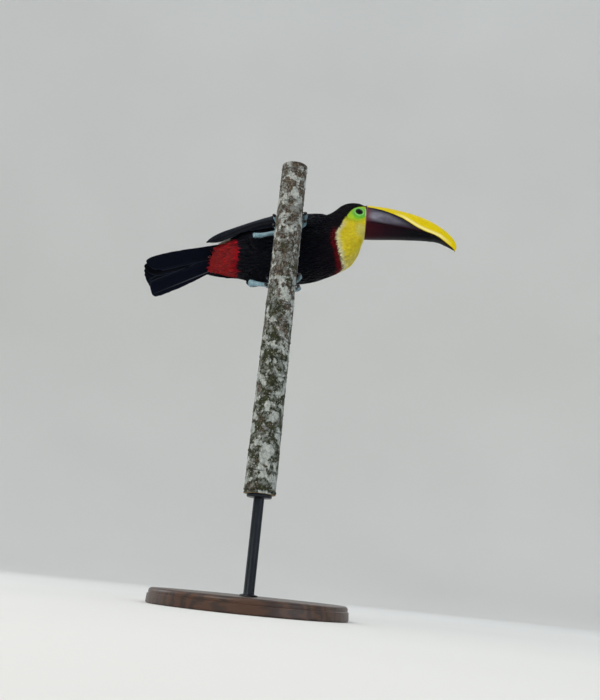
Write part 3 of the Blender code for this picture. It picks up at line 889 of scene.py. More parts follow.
def bill_surface():
    """Keratin sheath over bone: satin, with faint growth lines, and a soft grey sheen painted on the side as
    lighter grey clouds.

    The stripe, the dark line under it, the root and the cutting edge are read from distances kept
    on the mesh, in millimetres.
    """
    hues = colours()
    surface, tree = new_material("keratin_bill", Roughness=0.34, Coat_Weight=0.03, Coat_Roughness=0.25,
                                 Specular_IOR_Level=0.07, IOR=1.5)
    stripe, root, edge, lower, under = (
        add_node(tree, "Attribute", attribute_name=name).outputs["Fac"]
        for name in ("Stripe", "Root", "Edge", "Lower", "Under"))
    wander = add_node(tree, "TexNoise", mm=7, Detail=3.0, Roughness=0.5)
    fine = add_node(tree, "TexNoise", mm=1.1, stretch=(0.22, 1, 1), Detail=4.0, Roughness=0.6)
    cloud = add_node(tree, "TexNoise", mm=11, stretch=(0.4, 1, 1), Detail=4.0, Roughness=0.55)
    wavy = add_node(tree, "Math", wander, 1.2, stripe, operation="MULTIPLY_ADD")
    # The lighter grey clouds on the side of the upper mandible are a painted sheen.
    side = paint_over(tree, hues.upper_bill, ("#7F7F8B", cloud, 0.35, 0.7, 1),
                      ("#3C3B45", root, 34, 62, 0.75), ("#2A2731", wavy, -9, -2.5, 1),
                      ("#241621", edge, 9, 1.5, 1), (hues.bill_root, root, 12, 1, 1))
    # The lower mandible turns near black from 30 to 76 mm out: its own darker tip, deepened with painted
    # shade.
    dark = paint_over(tree, hues.lower_bill, ("#1B0610", cloud, 0.35, 0.75, 1),
                      ("#04050A", root, 30, 76, 1), ("#340912", root, 34, 2, 1))
    side = paint_over(tree, side, (dark, lower, 0, 1, 1))
    yellow = paint_over(tree, hues.culmen, ("#C9A806", fine, 0.4, 0.75, 1))
    # A painted highlight: a pale cream streak a few millimetres above the stripe's lower edge, from about 46
    # to 150 mm along the bill.
    streak = paint_over(tree, yellow, ("#F0E494", root, 46, 70, 1), (yellow, root, 128, 150, 1))
    pale = paint_over(tree, yellow, (streak, stripe, 7.5, 4.0, 1))
    yellow = paint_over(tree, yellow, (pale, stripe, 0.5, 2.5, 1))
    # Painted light here: the hook's downward faces (Under) turn near black, painted shade over the hook's own
    # dark underside; the pale pink line 1 to 2 mm from the root is a painted highlight on the rim of the
    # base, and the dark line at the root is the seam.
    tint = paint_over(tree, side, ("#0A0D1A", wavy, -2.4, -1.2, 1), (yellow, wavy, 0.25, 0.75, 1),
                      ("#0B0A10", under, 0, 1, 1), (side, lower, 0, 1, 1),
                      ("#20070C", edge, 1.1, 0.4, 0.9), ("#8E6560", root, 1.9, 1.0, 1),
                      ("#14100F", root, 1.0, 0.6, 1))
    rough = add_node(tree, "MapRange", cloud, 0.3, 0.7, 0.26, 0.42)
    return finish(surface, tint, fine, 0.35, 0.12, Roughness=rough)


def leg_surface():
    """Scuted skin of the legs: blue-grey horny plates with dull seams."""
    surface, tree = new_material("scuted_leg_skin", Roughness=0.48, Coat_Weight=0.15,
                                 Specular_IOR_Level=0.45, IOR=1.5)
    grains = add_node(tree, "TexVoronoi", mm=0.8, Randomness=0.8)
    dirt = add_node(tree, "TexNoise", mm=5, Detail=4.0, Roughness=0.6)
    plate = add_node(tree, "ValToRGB", dirt,
                     stops=((0.25, "#55757F"), (0.5, "#7799A6"), (0.75, "#97B5C0")))
    scute = add_node(tree, "Attribute", attribute_name="Scute").outputs["Fac"]
    tint = paint_over(tree, "#2A3A42", (plate, scute, 0, 1, 1))
    return finish(surface, tint, grains, 0.25, -0.06)


def claw_surface():
    """Worn claw horn: nearly black, and streaked along its curve."""
    surface, tree = new_material("worn_claw_horn", Roughness=0.36, Specular_IOR_Level=0.3, IOR=1.54)
    streak = add_node(tree, "TexNoise", mm=1.2, stretch=(1, 1, 2.5), Detail=4.0, Roughness=0.6)
    tint = add_node(tree, "ValToRGB", streak,
                    stops=((0.3, "#0C0A0A"), (0.6, "#191514"), (0.85, "#2E2825")))
    return finish(surface, tint, streak, 0.3, 0.1)


def bark_surface():
    """Palm bark: grey-brown cork crossed by leaf scars, crusted with pale lichen and dark moss.

    Lichen lies in patches 10 to 30 mm wide with specks of 1 to 2 mm round them, and the moss
    thickens towards the foot.
    """
    surface, tree = new_material("lichened_palm_bark", Roughness=0.9, Specular_IOR_Level=0.25)
    grain = add_node(tree, "TexNoise", mm=3.0, stretch=(1, 1, 0.55), Detail=6.0, Roughness=0.7)
    cork, moss_tint, crust_tint = (
        add_node(tree, "ValToRGB", grain, stops=stops) for stops in (
            ((0.26, "#15120F"), (0.42, "#2E2822"), (0.55, "#51473C"), (0.68, "#756A5C"),
             (0.85, "#978D80")),
            ((0.3, "#10130B"), (0.5, "#2A2D1B"), (0.75, "#4C4E36")),
            ((0.3, "#6F7572"), (0.5, "#A3A8A4"), (0.7, "#D2D4CD"))))
    moss, crust, grey, specks, pits = (
        add_node(tree, "TexNoise", mm=mm, stretch=(1, 1, tall), Detail=detail, Roughness=roughness)
        for mm, tall, detail, roughness in ((26, 1, 5.0, 0.6), (15, 0.9, 7.0, 0.62), (9, 1, 6.0, 0.65),
                                            (2.2, 1, 2.0, 0.5), (2.1, 1, 5.0, 0.7)))
    place = add_node(tree, "SeparateXYZ", add_node(tree, "TexCoord").outputs["Object"])
    low_down = add_node(tree, "MapRange", place.outputs["Z"], 0.62, 0.36, -0.08, 0.16)
    moss = add_node(tree, "Math", moss, low_down, operation="ADD")
    scar = add_node(tree, "Attribute", attribute_name="Scar").outputs["Fac"]
    # The near-black in the pits and the dark in the leaf scars' grooves are painted shade in the bark's
    # recesses.
    tint = paint_over(tree, cork, (moss_tint, moss, 0.52, 0.62, 1), (crust_tint, crust, 0.505, 0.565, 1),
                      ("#868B88", grey, 0.5, 0.62, 0.7), ("#B9BDB6", specks, 0.64, 0.7, 0.75),
                      ("#0E0C0A", pits, 0.4, 0.3, 1), ("#171310", scar, 0.35, 0.9, 0.6))
    relief = add_node(tree, "Math", grain, 0.8, pits, operation="MULTIPLY_ADD")
    return finish(surface, tint, relief, 0.8, 0.9)


def sawn_palm_surface():
    """A sawn palm end: pale pith dotted with dark fibre bundles about 2 mm apart."""
    surface, tree = new_material("sawn_palm_end", Roughness=0.85, Specular_IOR_Level=0.25)
    bundles = add_node(tree, "TexVoronoi", mm=2.4, Randomness=0.7)
    tint = add_node(tree, "ValToRGB", bundles,
                    stops=((0.12, "#3B2A1C"), (0.3, "#8C7350"), (0.6, "#B79E76")))
    return finish(surface, tint, bundles, 0.4, 0.3)


def wood_surface():
    """Walnut, turned and oiled: dark brown with straight grain and small pores."""
    surface, tree = new_material("oiled_walnut", Roughness=0.42, Coat_Weight=0.12, Coat_Roughness=0.3,
                                 Specular_IOR_Level=0.45)
    bands = add_node(tree, "TexWave", mm=1000 / 26, stretch=(0.12, 1, 1), wave_type="BANDS",
                     bands_direction="Y", Distortion=9.0, Detail=4.0, Detail_Scale=2.2)
    pores = add_node(tree, "TexNoise", mm=0.8, stretch=(0.08, 1, 1), Detail=4.0, Roughness=0.7)
    tone = add_node(tree, "Math", pores, 0.45, bands.outputs["Fac"], operation="MULTIPLY_ADD")
    tint = add_node(tree, "ValToRGB", tone,
                    stops=((0.1, "#2A1910"), (0.7, "#3B2518"), (1.0, "#4A2F1F")))
    return finish(surface, tint, pores, 0.2, 0.12)


def steel_surface():
    """Blackened steel with a fine satin tooth."""
    surface, tree = new_material("blackened_steel", Roughness=0.4, Metallic=0.85)
    tooth = add_node(tree, "TexNoise", mm=0.9, Detail=3.0, Roughness=0.6)
    tint = add_node(tree, "ValToRGB", tooth, stops=((0.3, "#1B1E22"), (0.7, "#2C3036")))
    return finish(surface, tint, tooth, 0.15, 0.05)


def paper_surface():
    """Matt paper of the studio's sweep, very slightly clouded."""
    surface, tree = new_material("matt_paper", Roughness=0.95, Specular_IOR_Level=0.1)
    cloud = add_node(tree, "TexNoise", mm=900, Detail=2.0, Roughness=0.5)
    return finish(surface, add_node(tree, "ValToRGB", cloud, stops=((0.3, "#E0DFDC"), (0.7, "#E5E4E1"))))


# ---------------------------------------------------------------- feathers


def blade(stations):
    """A closed slender blade from root to tip, with its half width at each share of the length.

    Returns its points, as share along, share across and rise, and each face's corners.
    """
    bm = bmesh.new()
    front = bmesh.ops.create_circle(bm, cap_ends=True, radius=1, segments=3)["verts"]
    for vert, (across, rise) in zip(front, ((-1, 0), (1, 0), (0, 1))):
        vert.co = Vector((0, across * stations[0][1], rise))
    for along, half_width in stations[1:]:
        edges = [edge for edge in bm.edges if edge.verts[0] in front and edge.verts[1] in front]
        made = bmesh.ops.extrude_edge_only(bm, edges=edges)["geom"]
        front = [item for item in made if isinstance(item, bmesh.types.BMVert)]
        for vert in front:
            side = round(vert.co.y / max(abs(vert.co.y), 1e-6))
            vert.co = Vector((along, side * half_width, 1 - abs(side)))
    bmesh.ops.pointmerge(bm, verts=front, merge_co=Vector((stations[-1][0], 0, 0)))
    bmesh.ops.recalc_face_normals(bm, faces=bm.faces)
    bm.verts.index_update()
    points = places(bm)
    faces = [[vert.index for vert in face.verts] for face in bm.faces]
    bm.free()
    return points, faces


VANE = ((0.0, 0.3), (0.22, 0.85), (0.48, 1.0), (0.72, 0.76), (0.89, 0.4), (1.0, 0.0))
BARB = ((0.0, 0.5), (0.35, 1.0), (0.7, 0.66), (1.0, 0.0))


def plant(meshes, skin, roots, shape, length, width, tuft):
    """Grows one blade from each root and adds them to the coat's list of meshes.

    tuft holds how far the tips stand out (lift), how much they stray, the blade's thickness, its
    arch and the seed. It may also hold the way that the blades lie, how steeply that may meet the
    skin, and the tree of what they lie over.
    """
    corners, weights = roots
    if not len(corners):
        return
    draw = np.random.default_rng(tuft["seed"])
    at = skin.blend(skin.outer, corners, weights)
    normal = unit(skin.blend(skin.normals, corners, weights))
    depth = skin.blend(skin.depth, corners, weights)
    size = skin.blend(skin.size, corners, weights)
    way, steep = tuft.get("way", lie)(at, normal)
    kept = steep < tuft.get("steepest", 0.8)
    at, normal, way, depth, size = at[kept], normal[kept], way[kept], depth[kept], size[kept]
    count = len(at)
    stray = draw.normal(0, tuft["stray"], count)
    aside = np.cross(normal, way)
    way = way * np.cos(stray)[:, None] + aside * np.sin(stray)[:, None]
    long = length * size * draw.uniform(0.82, 1.14, count)
    wide = width * size * draw.uniform(0.85, 1.12, count)
    lift = tuft["lift"] * size * draw.uniform(0.2, 1.0, count) ** 2
    tree = tuft.get("over", skin.tree)
    middle, middle_normal = skin.onto(at + way * (long * 0.5)[:, None], tree)
    tip, tip_normal = skin.onto(at + way * long[:, None], tree)
    paint = markings(middle * 0.85 + tip * 0.15)
    start = at - normal * (depth * draw.uniform(0.75, 0.95, count))[:, None]
    middle = middle - middle_normal * (depth * draw.uniform(0.12, 0.4, count))[:, None]
    tip = tip + tip_normal * (lift - depth * draw.uniform(0.0, 0.16, count))[:, None]
    points, faces = shape
    t = points[:, 0]
    basis = np.stack([(1 - t) * (1 - 2 * t), 4 * t * (1 - t), t * (2 * t - 1)], -1)
    slope = np.stack([4 * t - 3, 4 - 8 * t, 4 * t - 1], -1)
    keys = np.stack([start, middle, tip], 1)
    ups = np.stack([normal, middle_normal, tip_normal], 1)
    line = np.einsum("kj,njc->nkc", basis, keys)
    tangent = unit(np.einsum("kj,njc->nkc", slope, keys))
    up = np.einsum("kj,njc->nkc", np.stack([1 - t, np.zeros_like(t), t], -1), ups)
    side = unit(np.cross(up, tangent))
    up = np.cross(tangent, side)
    across = points[None, :, 1] * wide[:, None] / 2
    rise = points[None, :, 2] * tuft["thick"] * np.clip(size, 0.35, 1)[:, None]
    twist = draw.normal(0, 0.12, count)[:, None]
    rise = rise + across * twist - tuft["arch"] * np.abs(points[None, :, 1]) * wide[:, None]
    verts = line + side * across[:, :, None] + up * rise[:, :, None]
    meshes.append({"verts": verts, "faces": faces, "template": points, "root": at, "paint": paint,
                   "shade": draw.random(count)})


def coat_unwrap(points):
    """Where roots lie on the skin laid flat: along the body and round it."""
    angle, _ = turn_about(points)
    return np.stack([0.02 + 0.96 * (points[:, 0] + 150) / 300, 0.02 + 0.96 * (angle + 180) / 360], -1)


def coat_mesh(name, groups):
    """Joins planted blades into one mesh with its markings and maps."""
    lengths, corners, verts, marks, shades, bake, vane = [], [], [], [], [], [], []
    offset = 0
    for group in groups:
        count, per, _ = group["verts"].shape
        verts.append(group["verts"].reshape(-1, 3))
        marks.append(np.repeat(group["paint"], per, axis=0))
        shades.append(np.repeat(group["shade"], per))
        template = group["template"]
        own = np.stack([template[:, 1] * 0.5 + 0.5, template[:, 0]], -1)
        spot = coat_unwrap(group["root"])[:, None, :]
        for face in group["faces"]:
            corners.append((offset + np.arange(count)[:, None] * per + np.array(face)).ravel())
            lengths.append(np.full(count, len(face)))
            vane.append(np.tile(own[face], (count, 1)))
            bake.append((spot + (own[face] - 0.5) * UV_PATCH).reshape(-1, 2))
        offset += count * per
    points, corners, lengths = (np.concatenate(part) for part in (verts, corners, lengths))
    starts = np.cumsum(lengths) - lengths
    mesh = bpy.data.meshes.new(name)
    mesh.vertices.add(len(points))
    mesh.vertices.foreach_set("co", points.astype(np.float32).ravel())
    mesh.loops.add(len(corners))
    mesh.loops.foreach_set("vertex_index", corners.astype(np.int32))
    mesh.polygons.add(len(lengths))
    mesh.polygons.foreach_set("loop_start", starts.astype(np.int32))
    mesh.update(calc_edges=True)
    for label, values in (("OFBake", bake), ("Vane", vane)):
        layer = mesh.uv_layers.new(name=label)
        layer.data.foreach_set("uv", np.concatenate(values).astype(np.float32).ravel())
    store(mesh, "Marking", "FLOAT_COLOR", np.c_[np.concatenate(marks), np.ones(len(points))])
    store(mesh, "Shade", "FLOAT", np.concatenate(shades))
    return mesh


def grow_coat(name, chosen, surface, slot, vanes, barbs, seed, **options):
    """Plants broad vanes and slender barbs over part of the skin and joins them as one piece.

    vanes and barbs each hold length, width, spacing, lift and stray, at the size of the back's.
    """
    skin = form()
    meshes = []
    density = sizes().feather_density
    for part, (shape, thick, arch) in enumerate(((VANE, 0.22, 0.035), (BARB, 0.24, 0.0))):
        length, width, spacing, lift, stray = (vanes, barbs)[part]
        gap = spacing * skin.size / density
        roots = skin.scatter(chosen, gap, seed + part)
        tuft = {"lift": lift, "stray": radians(stray), "thick": thick, "arch": arch,
                "seed": seed + 50 + part, **options}
        plant(meshes, skin, roots, blade(shape), length, width, tuft)
    mesh = coat_mesh(name, meshes)
    return add_piece(name, mesh, surface)


# ---------------------------------------------------------------- long feathers


def long_feather(rows, columns, thick, seed):
    """One closed vane on a grid: x along it from 0 to 1, y across it from -1 to 1, z its height."""
    bm = bmesh.new()
    bmesh.ops.create_grid(bm, x_segments=rows, y_segments=columns, size=1)
    draw = np.random.default_rng(seed)
    splits = draw.uniform(0.45, 0.95, 2)
    for vert in bm.verts:
        vert.co.x = 1 - ((1 - vert.co.x) / 2) ** 1.25
        vert.co.z = 0.5 * (1 - abs(vert.co.y)) ** 2
    bm.normal_update()
    for split in splits:
        side = draw.choice((-1, 1))
        for vert in bm.verts:
            if abs(vert.co.x - split) < 0.5 / rows and vert.co.y * side > 0.9:
                vert.co.y *= 0.9
    bmesh.ops.solidify(bm, geom=bm.faces[:], thickness=thick)
    bmesh.ops.recalc_face_normals(bm, faces=bm.faces)
    return bm


def lay_feather(bm, place, index, seed, length, webs, taper, rows, thick, ridge=1.0, pale_shaft=0.0):
    """Adds one long feather; place turns lengths along and across into a point and its normal.

    webs are the widths of its inner and outer web, and taper is the share that narrows to the tip.
    """
    blank = long_feather(rows, 6, thick, seed)
    draw = np.random.default_rng(seed)
    shades, unders = (bm.verts.layers.float[name] for name in ("Shade", "Underside"))
    bake, vane = (bm.loops.layers.uv[name] for name in ("OFBake", "Vane"))
    shade = draw.random()
    cell_x, cell_y = index % BAKE_CELLS, index // BAKE_CELLS
    copies = {}
    for vert in blank.verts:
        t, across, rise = vert.co
        round_root = np.sqrt(max(0.0, min(1.0, t / 0.10 + 0.08)))
        blunt = max(0.0, (t - (1 - taper)) / taper)
        outline = max(0.02, 1 - blunt ** 2.4) ** 0.5 * (0.35 + 0.65 * round_root)
        ragged = 0.15 * draw.normal() if abs(across) > 0.9 else 0.0
        side = across * (webs[across > 0] * outline + ragged * outline)
        point, normal = place(length * t, side, t, across)
        copy = copies[vert] = bm.verts.new(point + normal * (rise * ridge))
        copy[shades], copy[unders] = shade, pale_shaft
    for face in blank.faces:
        for loop, vert in zip(bm.faces.new([copies[vert] for vert in face.verts]).loops, face.verts):
            u, v = vert.co.y * 0.5 + 0.5, vert.co.x
            loop[vane].uv = (u, v)
            loop[bake].uv = ((cell_x + 0.08 + 0.84 * u) / BAKE_CELLS,
                             (cell_y + 0.08 + 0.84 * v) / BAKE_CELLS)
    blank.free()


def feather_target():
    """An empty bmesh with the layers that long feathers fill."""
    bm = bmesh.new()
    for name in ("OFBake", "Vane"):
        bm.loops.layers.uv.new(name)
    for name in ("Shade", "Underside"):
        bm.verts.layers.float.new(name)
    return bm


class WingForm:
    """A folded wing's outer face, read from its solids: x along the body and a share across it."""

    def __init__(self, side):
        bm = cad_copy(side + "_wing_coverts", side + "_wing_quills")
        points = places(bm)
        tree = tree_of(bm)
        self.sign = 1 if side == "right" else -1
        angle, _ = turn_about(points)
        angle *= self.sign
        self.x = np.arange(-138, 60, 3.0)
        self.share = np.linspace(0, 1, 17)
        self.grid = np.zeros((len(self.x), len(self.share), 3))
        keys, edge = [], []
        for x in np.unique(points[:, 0].round(1)):
            near = np.abs(points[:, 0] - x) < 0.3
            if near.sum() >= 8:
                keys.append(x)
                edge.append((angle[near].min(), angle[near].max()))
        edge = np.array(edge)
        for i, x in enumerate(self.x):
            high, low = np.interp(x, keys, edge[:, 0]), np.interp(x, keys, edge[:, 1])
            high, low = high + 1.5, low - 1.5
            centre = axis_point(np.array([x]))[0]
            up, right = slice_frame(np.array([x]))
            last = None
            for j, share in enumerate(self.share):
                turn = radians(high + (low - high) * share)
                out = up[0] * cos(turn) + right[0] * (sin(turn) * self.sign)
                hit = tree.ray_cast(Vector(centre + out * 120), Vector(-out), 100)[0]
                if hit is None:
                    hit = Vector(last) if last is not None else Vector(centre + out * 60)
                last = np.array(hit)
                self.grid[i, j] = last
        for _ in range(3):
            self.grid[1:-1] = self.grid[1:-1] / 2 + (self.grid[:-2] + self.grid[2:]) / 4
            self.grid[:, 1:-1] = self.grid[:, 1:-1] / 2 + (self.grid[:, :-2] + self.grid[:, 2:]) / 4

    def at(self, x, share):
        """The point at x and share; beyond the edges it carries on straight."""
        i = min(max((x - self.x[0]) / 3.0, 0), len(self.x) - 1.001)
        j = min(max(share * 16, 0), 15.999)
        low_i, low_j = int(i), int(j)
        u, v = i - low_i, j - low_j
        corner = self.grid[low_i:low_i + 2, low_j:low_j + 2]
        point = (corner[0, 0] * (1 - u) * (1 - v) + corner[1, 0] * u * (1 - v)
                 + corner[0, 1] * (1 - u) * v + corner[1, 1] * u * v)
        over_x = x - (self.x[0] + i * 3.0)
        over_j = share * 16 - j
        if over_x:
            point = point + (self.grid[low_i + 1, low_j] - self.grid[low_i, low_j]) / 3.0 * over_x
        if over_j:
            point = point + (self.grid[low_i, low_j + 1] - self.grid[low_i, low_j]) * over_j
        return point

    def basis(self, x, share):
        """The point, the ways towards the tail and the lower edge, the normal, and the wing's width."""
        point = self.at(x, share)
        back = unit(self.at(x - 4, share) - self.at(x + 4, share))
        down = self.at(x, share + 0.06) - self.at(x, share - 0.06)
        span = np.linalg.norm(down) / 0.12
        down = unit(down)
        return point, back, down, unit(np.cross(down, back) * self.sign), span


def wing_place(wing, start, end, depth, tilt, length, droop):
    """Lays a feather on the wing's face from start to end, each an x and a share across.

    With droop above 1 it keeps to its start's share at first and turns down towards its end.
    """
    steps = 15
    fall = end[1] - start[1]
    line = []
    for i in range(steps):
        share = i / (steps - 1)
        x = start[0] + (end[0] - start[0]) * share
        line.append(wing.basis(x, start[1] + fall * share ** droop))
    points = np.array([row[0] for row in line])
    legs = np.linalg.norm(np.diff(points, axis=0), axis=1)
    run = np.concatenate([[0], np.cumsum(legs)])
    run *= length / run[-1]

    def place(along, side, t, across):
        share = np.interp(along, run, np.linspace(0, 1, steps))
        x = start[0] + (end[0] - start[0]) * share
        s = start[1] + fall * share ** droop
        _, back, down, _, span = wing.basis(x, s)
        ahead = fall * droop * share ** (droop - 1) / (start[0] - end[0])
        route = unit(wing.at(x - 2, s + ahead * 2) - wing.at(x, s))
        square = unit(down - route * (down @ route))
        slant = square @ back
        point, _, _, normal, _ = wing.basis(x - side * slant, s + side * (square @ down) / span)
        sink = depth * (1 - 0.75 * t) + tilt * (1 - across) / 2
        return Vector(point - normal * sink), Vector(normal)

    return place


def wing_rows():
    """Rows of a folded wing from the deepest to the topmost.

    For each: its feathers, how many, where the first and last start and end (x and share from the
    upper edge), web widths, depth, tilt, taper, grid rows, how much further back the middle ones
    reach, how much the ends stray along and across, and the droop.
    """
    many = sizes()
    return (
        ("primary", many.primaries, (-22, 0.9), (-26, 0.5), (-130, 2.0), (-132, 0.58),
         (8.0, 6.5), 2.6, 1.0, 0.2, 32, 5, 1.2, 0, 3.2),
        ("secondary", many.secondaries, (-14, 0.95), (-16, 0.16), (-84, 0.96), (-108, 0.26),
         (8.5, 9.5), 1.7, 1.1, 0.16, 26, 6, 1.2, 0, 1.0),
        ("tertial", 3, (-6, 0.24), (-4, 0.06), (-98, 0.20), (-74, 0.05),
         (10.0, 9.5), 0.9, 0.9, 0.24, 24, 0, 1.2, 0, 1.0),
        ("greater covert", 13, (14, 0.96), (10, 0.06), (-36, 0.97), (-44, 0.10),
         (6.2, 6.6), 0.7, 0.9, 0.46, 16, 3, 3.2, 0.02, 1.0),
        ("median covert", 14, (30, 0.94), (26, 0.08), (-4, 0.95), (-14, 0.07),
         (5.8, 6.0), 0.3, 0.8, 0.55, 14, 1, 3.2, 0.02, 1.0),
    )


def make_wing(side):
    """All the long feathers of one folded wing, in one piece."""
    wing = WingForm(side)
    bm = feather_target()
    index = 0
    for row, (_, count, *ends, webs, depth, tilt, taper, rows, bulge, stray, aside,
              droop) in enumerate(wing_rows()):
        for i in range(count):
            share = i / max(count - 1, 1)
            start, end = ([a + (b - a) * share for a, b in zip(*pair)] for pair in (ends[:2], ends[2:]))
            seed = SEED * 100 + row * 20 + i
            draw = np.random.default_rng(seed + 5)
            end[0] += draw.uniform(-stray, stray) - bulge * (1 - (2 * share - 1) ** 2)
            end[1] += draw.uniform(-aside, aside)
            length = np.linalg.norm(wing.at(*end) - wing.at(*start))
            place = wing_place(wing, start, end, depth, tilt, length, droop)
            lay_feather(bm, place, index, seed, length, webs, taper, rows, 0.35)
            index += 1
    bmesh.ops.recalc_face_normals(bm, faces=bm.faces)
    return bm


def tail_axes():
    """Where the tail's root lies, to the bird's right, up off its back, and how long it is."""
    roll = radians(TAIL_ROLL)
    right = Vector((0, -cos(roll), sin(roll)))
    right = (right - TAIL_ALONG * right.dot(TAIL_ALONG)).normalized()
    up = TAIL_ALONG.cross(right)
    bm = cad_copy("tail")
    points = places(bm)
    bm.free()
    reach = points @ np.array(TAIL_ALONG)
    root = points[reach < reach.min() + 3].mean(0)
    return Vector(root), right, up, reach.max() - reach.min()


# The tail feathers from the bird's left to its right: where the shaft lies across the tail at its
# root and at its end, how far the tip stands past the solid's, and how much of the length tapers.
TAIL_FEATHERS = ((-18, -26.5, 3, 0.08), (-15, -20.5, 1.5, 0.1), (-11, -14.5, 1, 0.12), (-7, -8.5, 1.5, 0.12),
                 (-3, -2.5, 2, 0.12), (4, 5, 2, 0.12), (8.5, 12.5, 1, 0.13), (13, 20.5, -1.5, 0.15),
                 (16, 29, -5, 0.16), (19, 37.5, -12, 0.18))


def make_tail():
    """Ten broad tail feathers that lie over each other, the outermost lowest."""
    root, right, up, length = tail_axes()
    bm = feather_target()
    for i, (at_root, at_end, longer, taper) in enumerate(TAIL_FEATHERS):
        sign = 1 if i > 4 else -1
        order = abs(i - 4.5) - 0.5 + (0.5 if sign > 0 else 0)

        def place(along, side, t, web, sign=sign, order=order, at_root=at_root, at_end=at_end):
            widen = 0.3 + 0.7 * smoothstep(0.1, 0.72, t) if web > 0 else 1.0
            across = at_root + (at_end - at_root) * t ** 0.8 + side * widen * sign
            arch = 2.4 * (0.5 - (across / 40) ** 2)
            rise = arch + 0.3 * web - 0.42 * order + 0.8
            return root + TAIL_ALONG * along + right * across + up * rise, -up

        lay_feather(bm, place, i, SEED * 40 + i, length + longer, (25, 8.0), taper, 34, 0.3, 0.5,
                    0.3 if i == 0 else 0.0)
    bmesh.ops.recalc_face_normals(bm, faces=bm.faces)
    return bm


# ---------------------------------------------------------------- operators


class PieceOperator(bpy.types.Operator):
    """What every operator of this add-on shares."""
    bl_options = {"REGISTER", "UNDO"}

    @classmethod
    def poll(cls, context):
        return context.scene is not None


class TOUCAN_OT_stage(PieceOperator):
    """Adds the floor, the soft studio light and the camera"""
    bl_idname = "toucan.stage"
    bl_label = "Stage"

    def execute(self, context):
        floor_reach, bend, wall = 2.3, 1.3, 4.2
        outline = [(0, 0), (floor_reach / 2, 0), (floor_reach, 0)]
        outline += [(floor_reach + bend * sin(a), bend * (1 - cos(a)))
                    for a in (pi / 2 * i / 16 for i in range(1, 17))]
        bm = spun([*outline, (floor_reach + bend, wall)], (0, 0), 96, 1e-4)
        bmesh.ops.reverse_faces(bm, faces=bm.faces)
        mesh = bpy.data.meshes.new("studio_floor")
        bm.to_mesh(mesh)
        bm.free()
        mesh.materials.append(paper_surface())
        mesh.shade_smooth()
        floor = bpy.data.objects.new("studio_floor", mesh)
        context.scene.collection.objects.link(floor)
        world = bpy.data.worlds.new("soft_room")
        world.use_nodes = True
        wire(world.node_tree.nodes["Background"], Color="#E9F0F6", Strength=1.0)
        context.scene.world = world
        context.scene.view_settings.view_transform = "Standard"
        target = Vector((0.03, 0.03, 0.55))
        lamps = (("key", (-1.15, -1.45, 1.35), 1.1, 19, "#FFF8EE"),
                 ("fill", (1.45, -1.25, 0.35), 1.5, 8, "#EEF4FF"),
                 ("back", (0.9, 1.6, 1.6), 1.4, 8, "#F4F8FF"),
                 ("left_back", (-1.7, 0.9, 0.9), 1.0, 7, "#F4F8FF"))
        for name, at, size, power, tint in lamps:
            light = bpy.data.lights.new(name, "AREA")
            light.shape, light.size, light.energy = "DISK", size, power
            light.color = linear(tint)
            lamp = bpy.data.objects.new(name, light)
            lamp.location = at
            lamp.rotation_euler = (target - Vector(at)).to_track_quat("-Z", "Y").to_euler()
            context.scene.collection.objects.link(lamp)
        self.add_camera(context)
        return {"FINISHED"}

    def add_camera(self, context):
        """A camera low on the floor that looks up at the bird, rolled a little to the left."""
        pitch, yaw, roll = radians(14.787), radians(0.7805), radians(5.785)
        forward = Vector((sin(yaw) * cos(pitch), cos(yaw) * cos(pitch), sin(pitch)))
        level = Vector((cos(yaw), -sin(yaw), 0))
        over = level.cross(forward)
        side = level * cos(roll) + over * sin(roll)
        up = over * cos(roll) - level * sin(roll)
        lens = bpy.data.cameras.new("camera")
        lens.lens = 46.29
        lens.sensor_width = 36
        camera = bpy.data.objects.new("camera", lens)
        turn = Matrix((side, up, -forward)).transposed().to_4x4()
        camera.matrix_world = Matrix.Translation((0.020, -1.3837, 0.0404)) @ turn
        context.scene.collection.objects.link(camera)
        context.scene.camera = camera


class TOUCAN_OT_stand(PieceOperator):
    """Adds the turned base, the rod and its flange"""
    bl_idname = "toucan.stand"
    bl_label = "Stand"

    def execute(self, context):
        low, high, _ = box_of("stand_base")
        radius, top = (high.x - low.x) / 2, high.z
        outline = [(0, 0.0), (radius - 2.5, 0.0), (radius - 1, 0.6), (radius, 2.2),
                   (radius - 0.9, top - 8.5), (radius - 2.6, top - 7.6), (radius - 2.6, top - 6.6)]
        outline += [(radius - 7.5 + 5.0 * cos(a), top - 6 + 5.4 * sin(a) + 0.6)
                    for a in (pi / 2 * i / 8 for i in range(9))]
        outline += [(radius - 14, top), (40, top), (0, top)]
        self.turn("walnut_base", outline, (0, 0), 128, wood_surface(), "stand_wood", "stand_base")
        steel = steel_surface()
        low, high, middle = box_of("stand_rod")
        radius = (high.x - low.x) / 2
        outline = [(0, low.z), (radius + 5, low.z), (radius + 5.6, low.z + 0.7), (radius + 5, low.z + 2.2),
                   (radius + 0.6, low.z + 3.0), (radius, low.z + 4.2), (radius, high.z), (0, high.z)]
        self.turn("steel_rod", outline, middle, 48, steel, "stand_steel", "stand_rod")
        low, high, _ = box_of("stand_flange")
        radius = (high.x - low.x) / 2
        outline = [(0, low.z), (radius - 1.6, low.z), (radius - 0.4, low.z + 0.5), (radius, low.z + 1.6),
                   (radius, high.z - 0.6), (radius - 0.6, high.z), (0, high.z)]
        self.turn("steel_flange", outline, middle, 64, steel, "stand_steel", "stand_flange")
        return {"FINISHED"}

    def turn(self, name, outline, centre, steps, surface, slot, node):
        """Turns one part of the stand from its outline."""
        piece = add_piece("stand_" + name, spun(outline, centre, steps), surface, (node,))
        piece.data.set_sharp_from_angle(angle=radians(35))


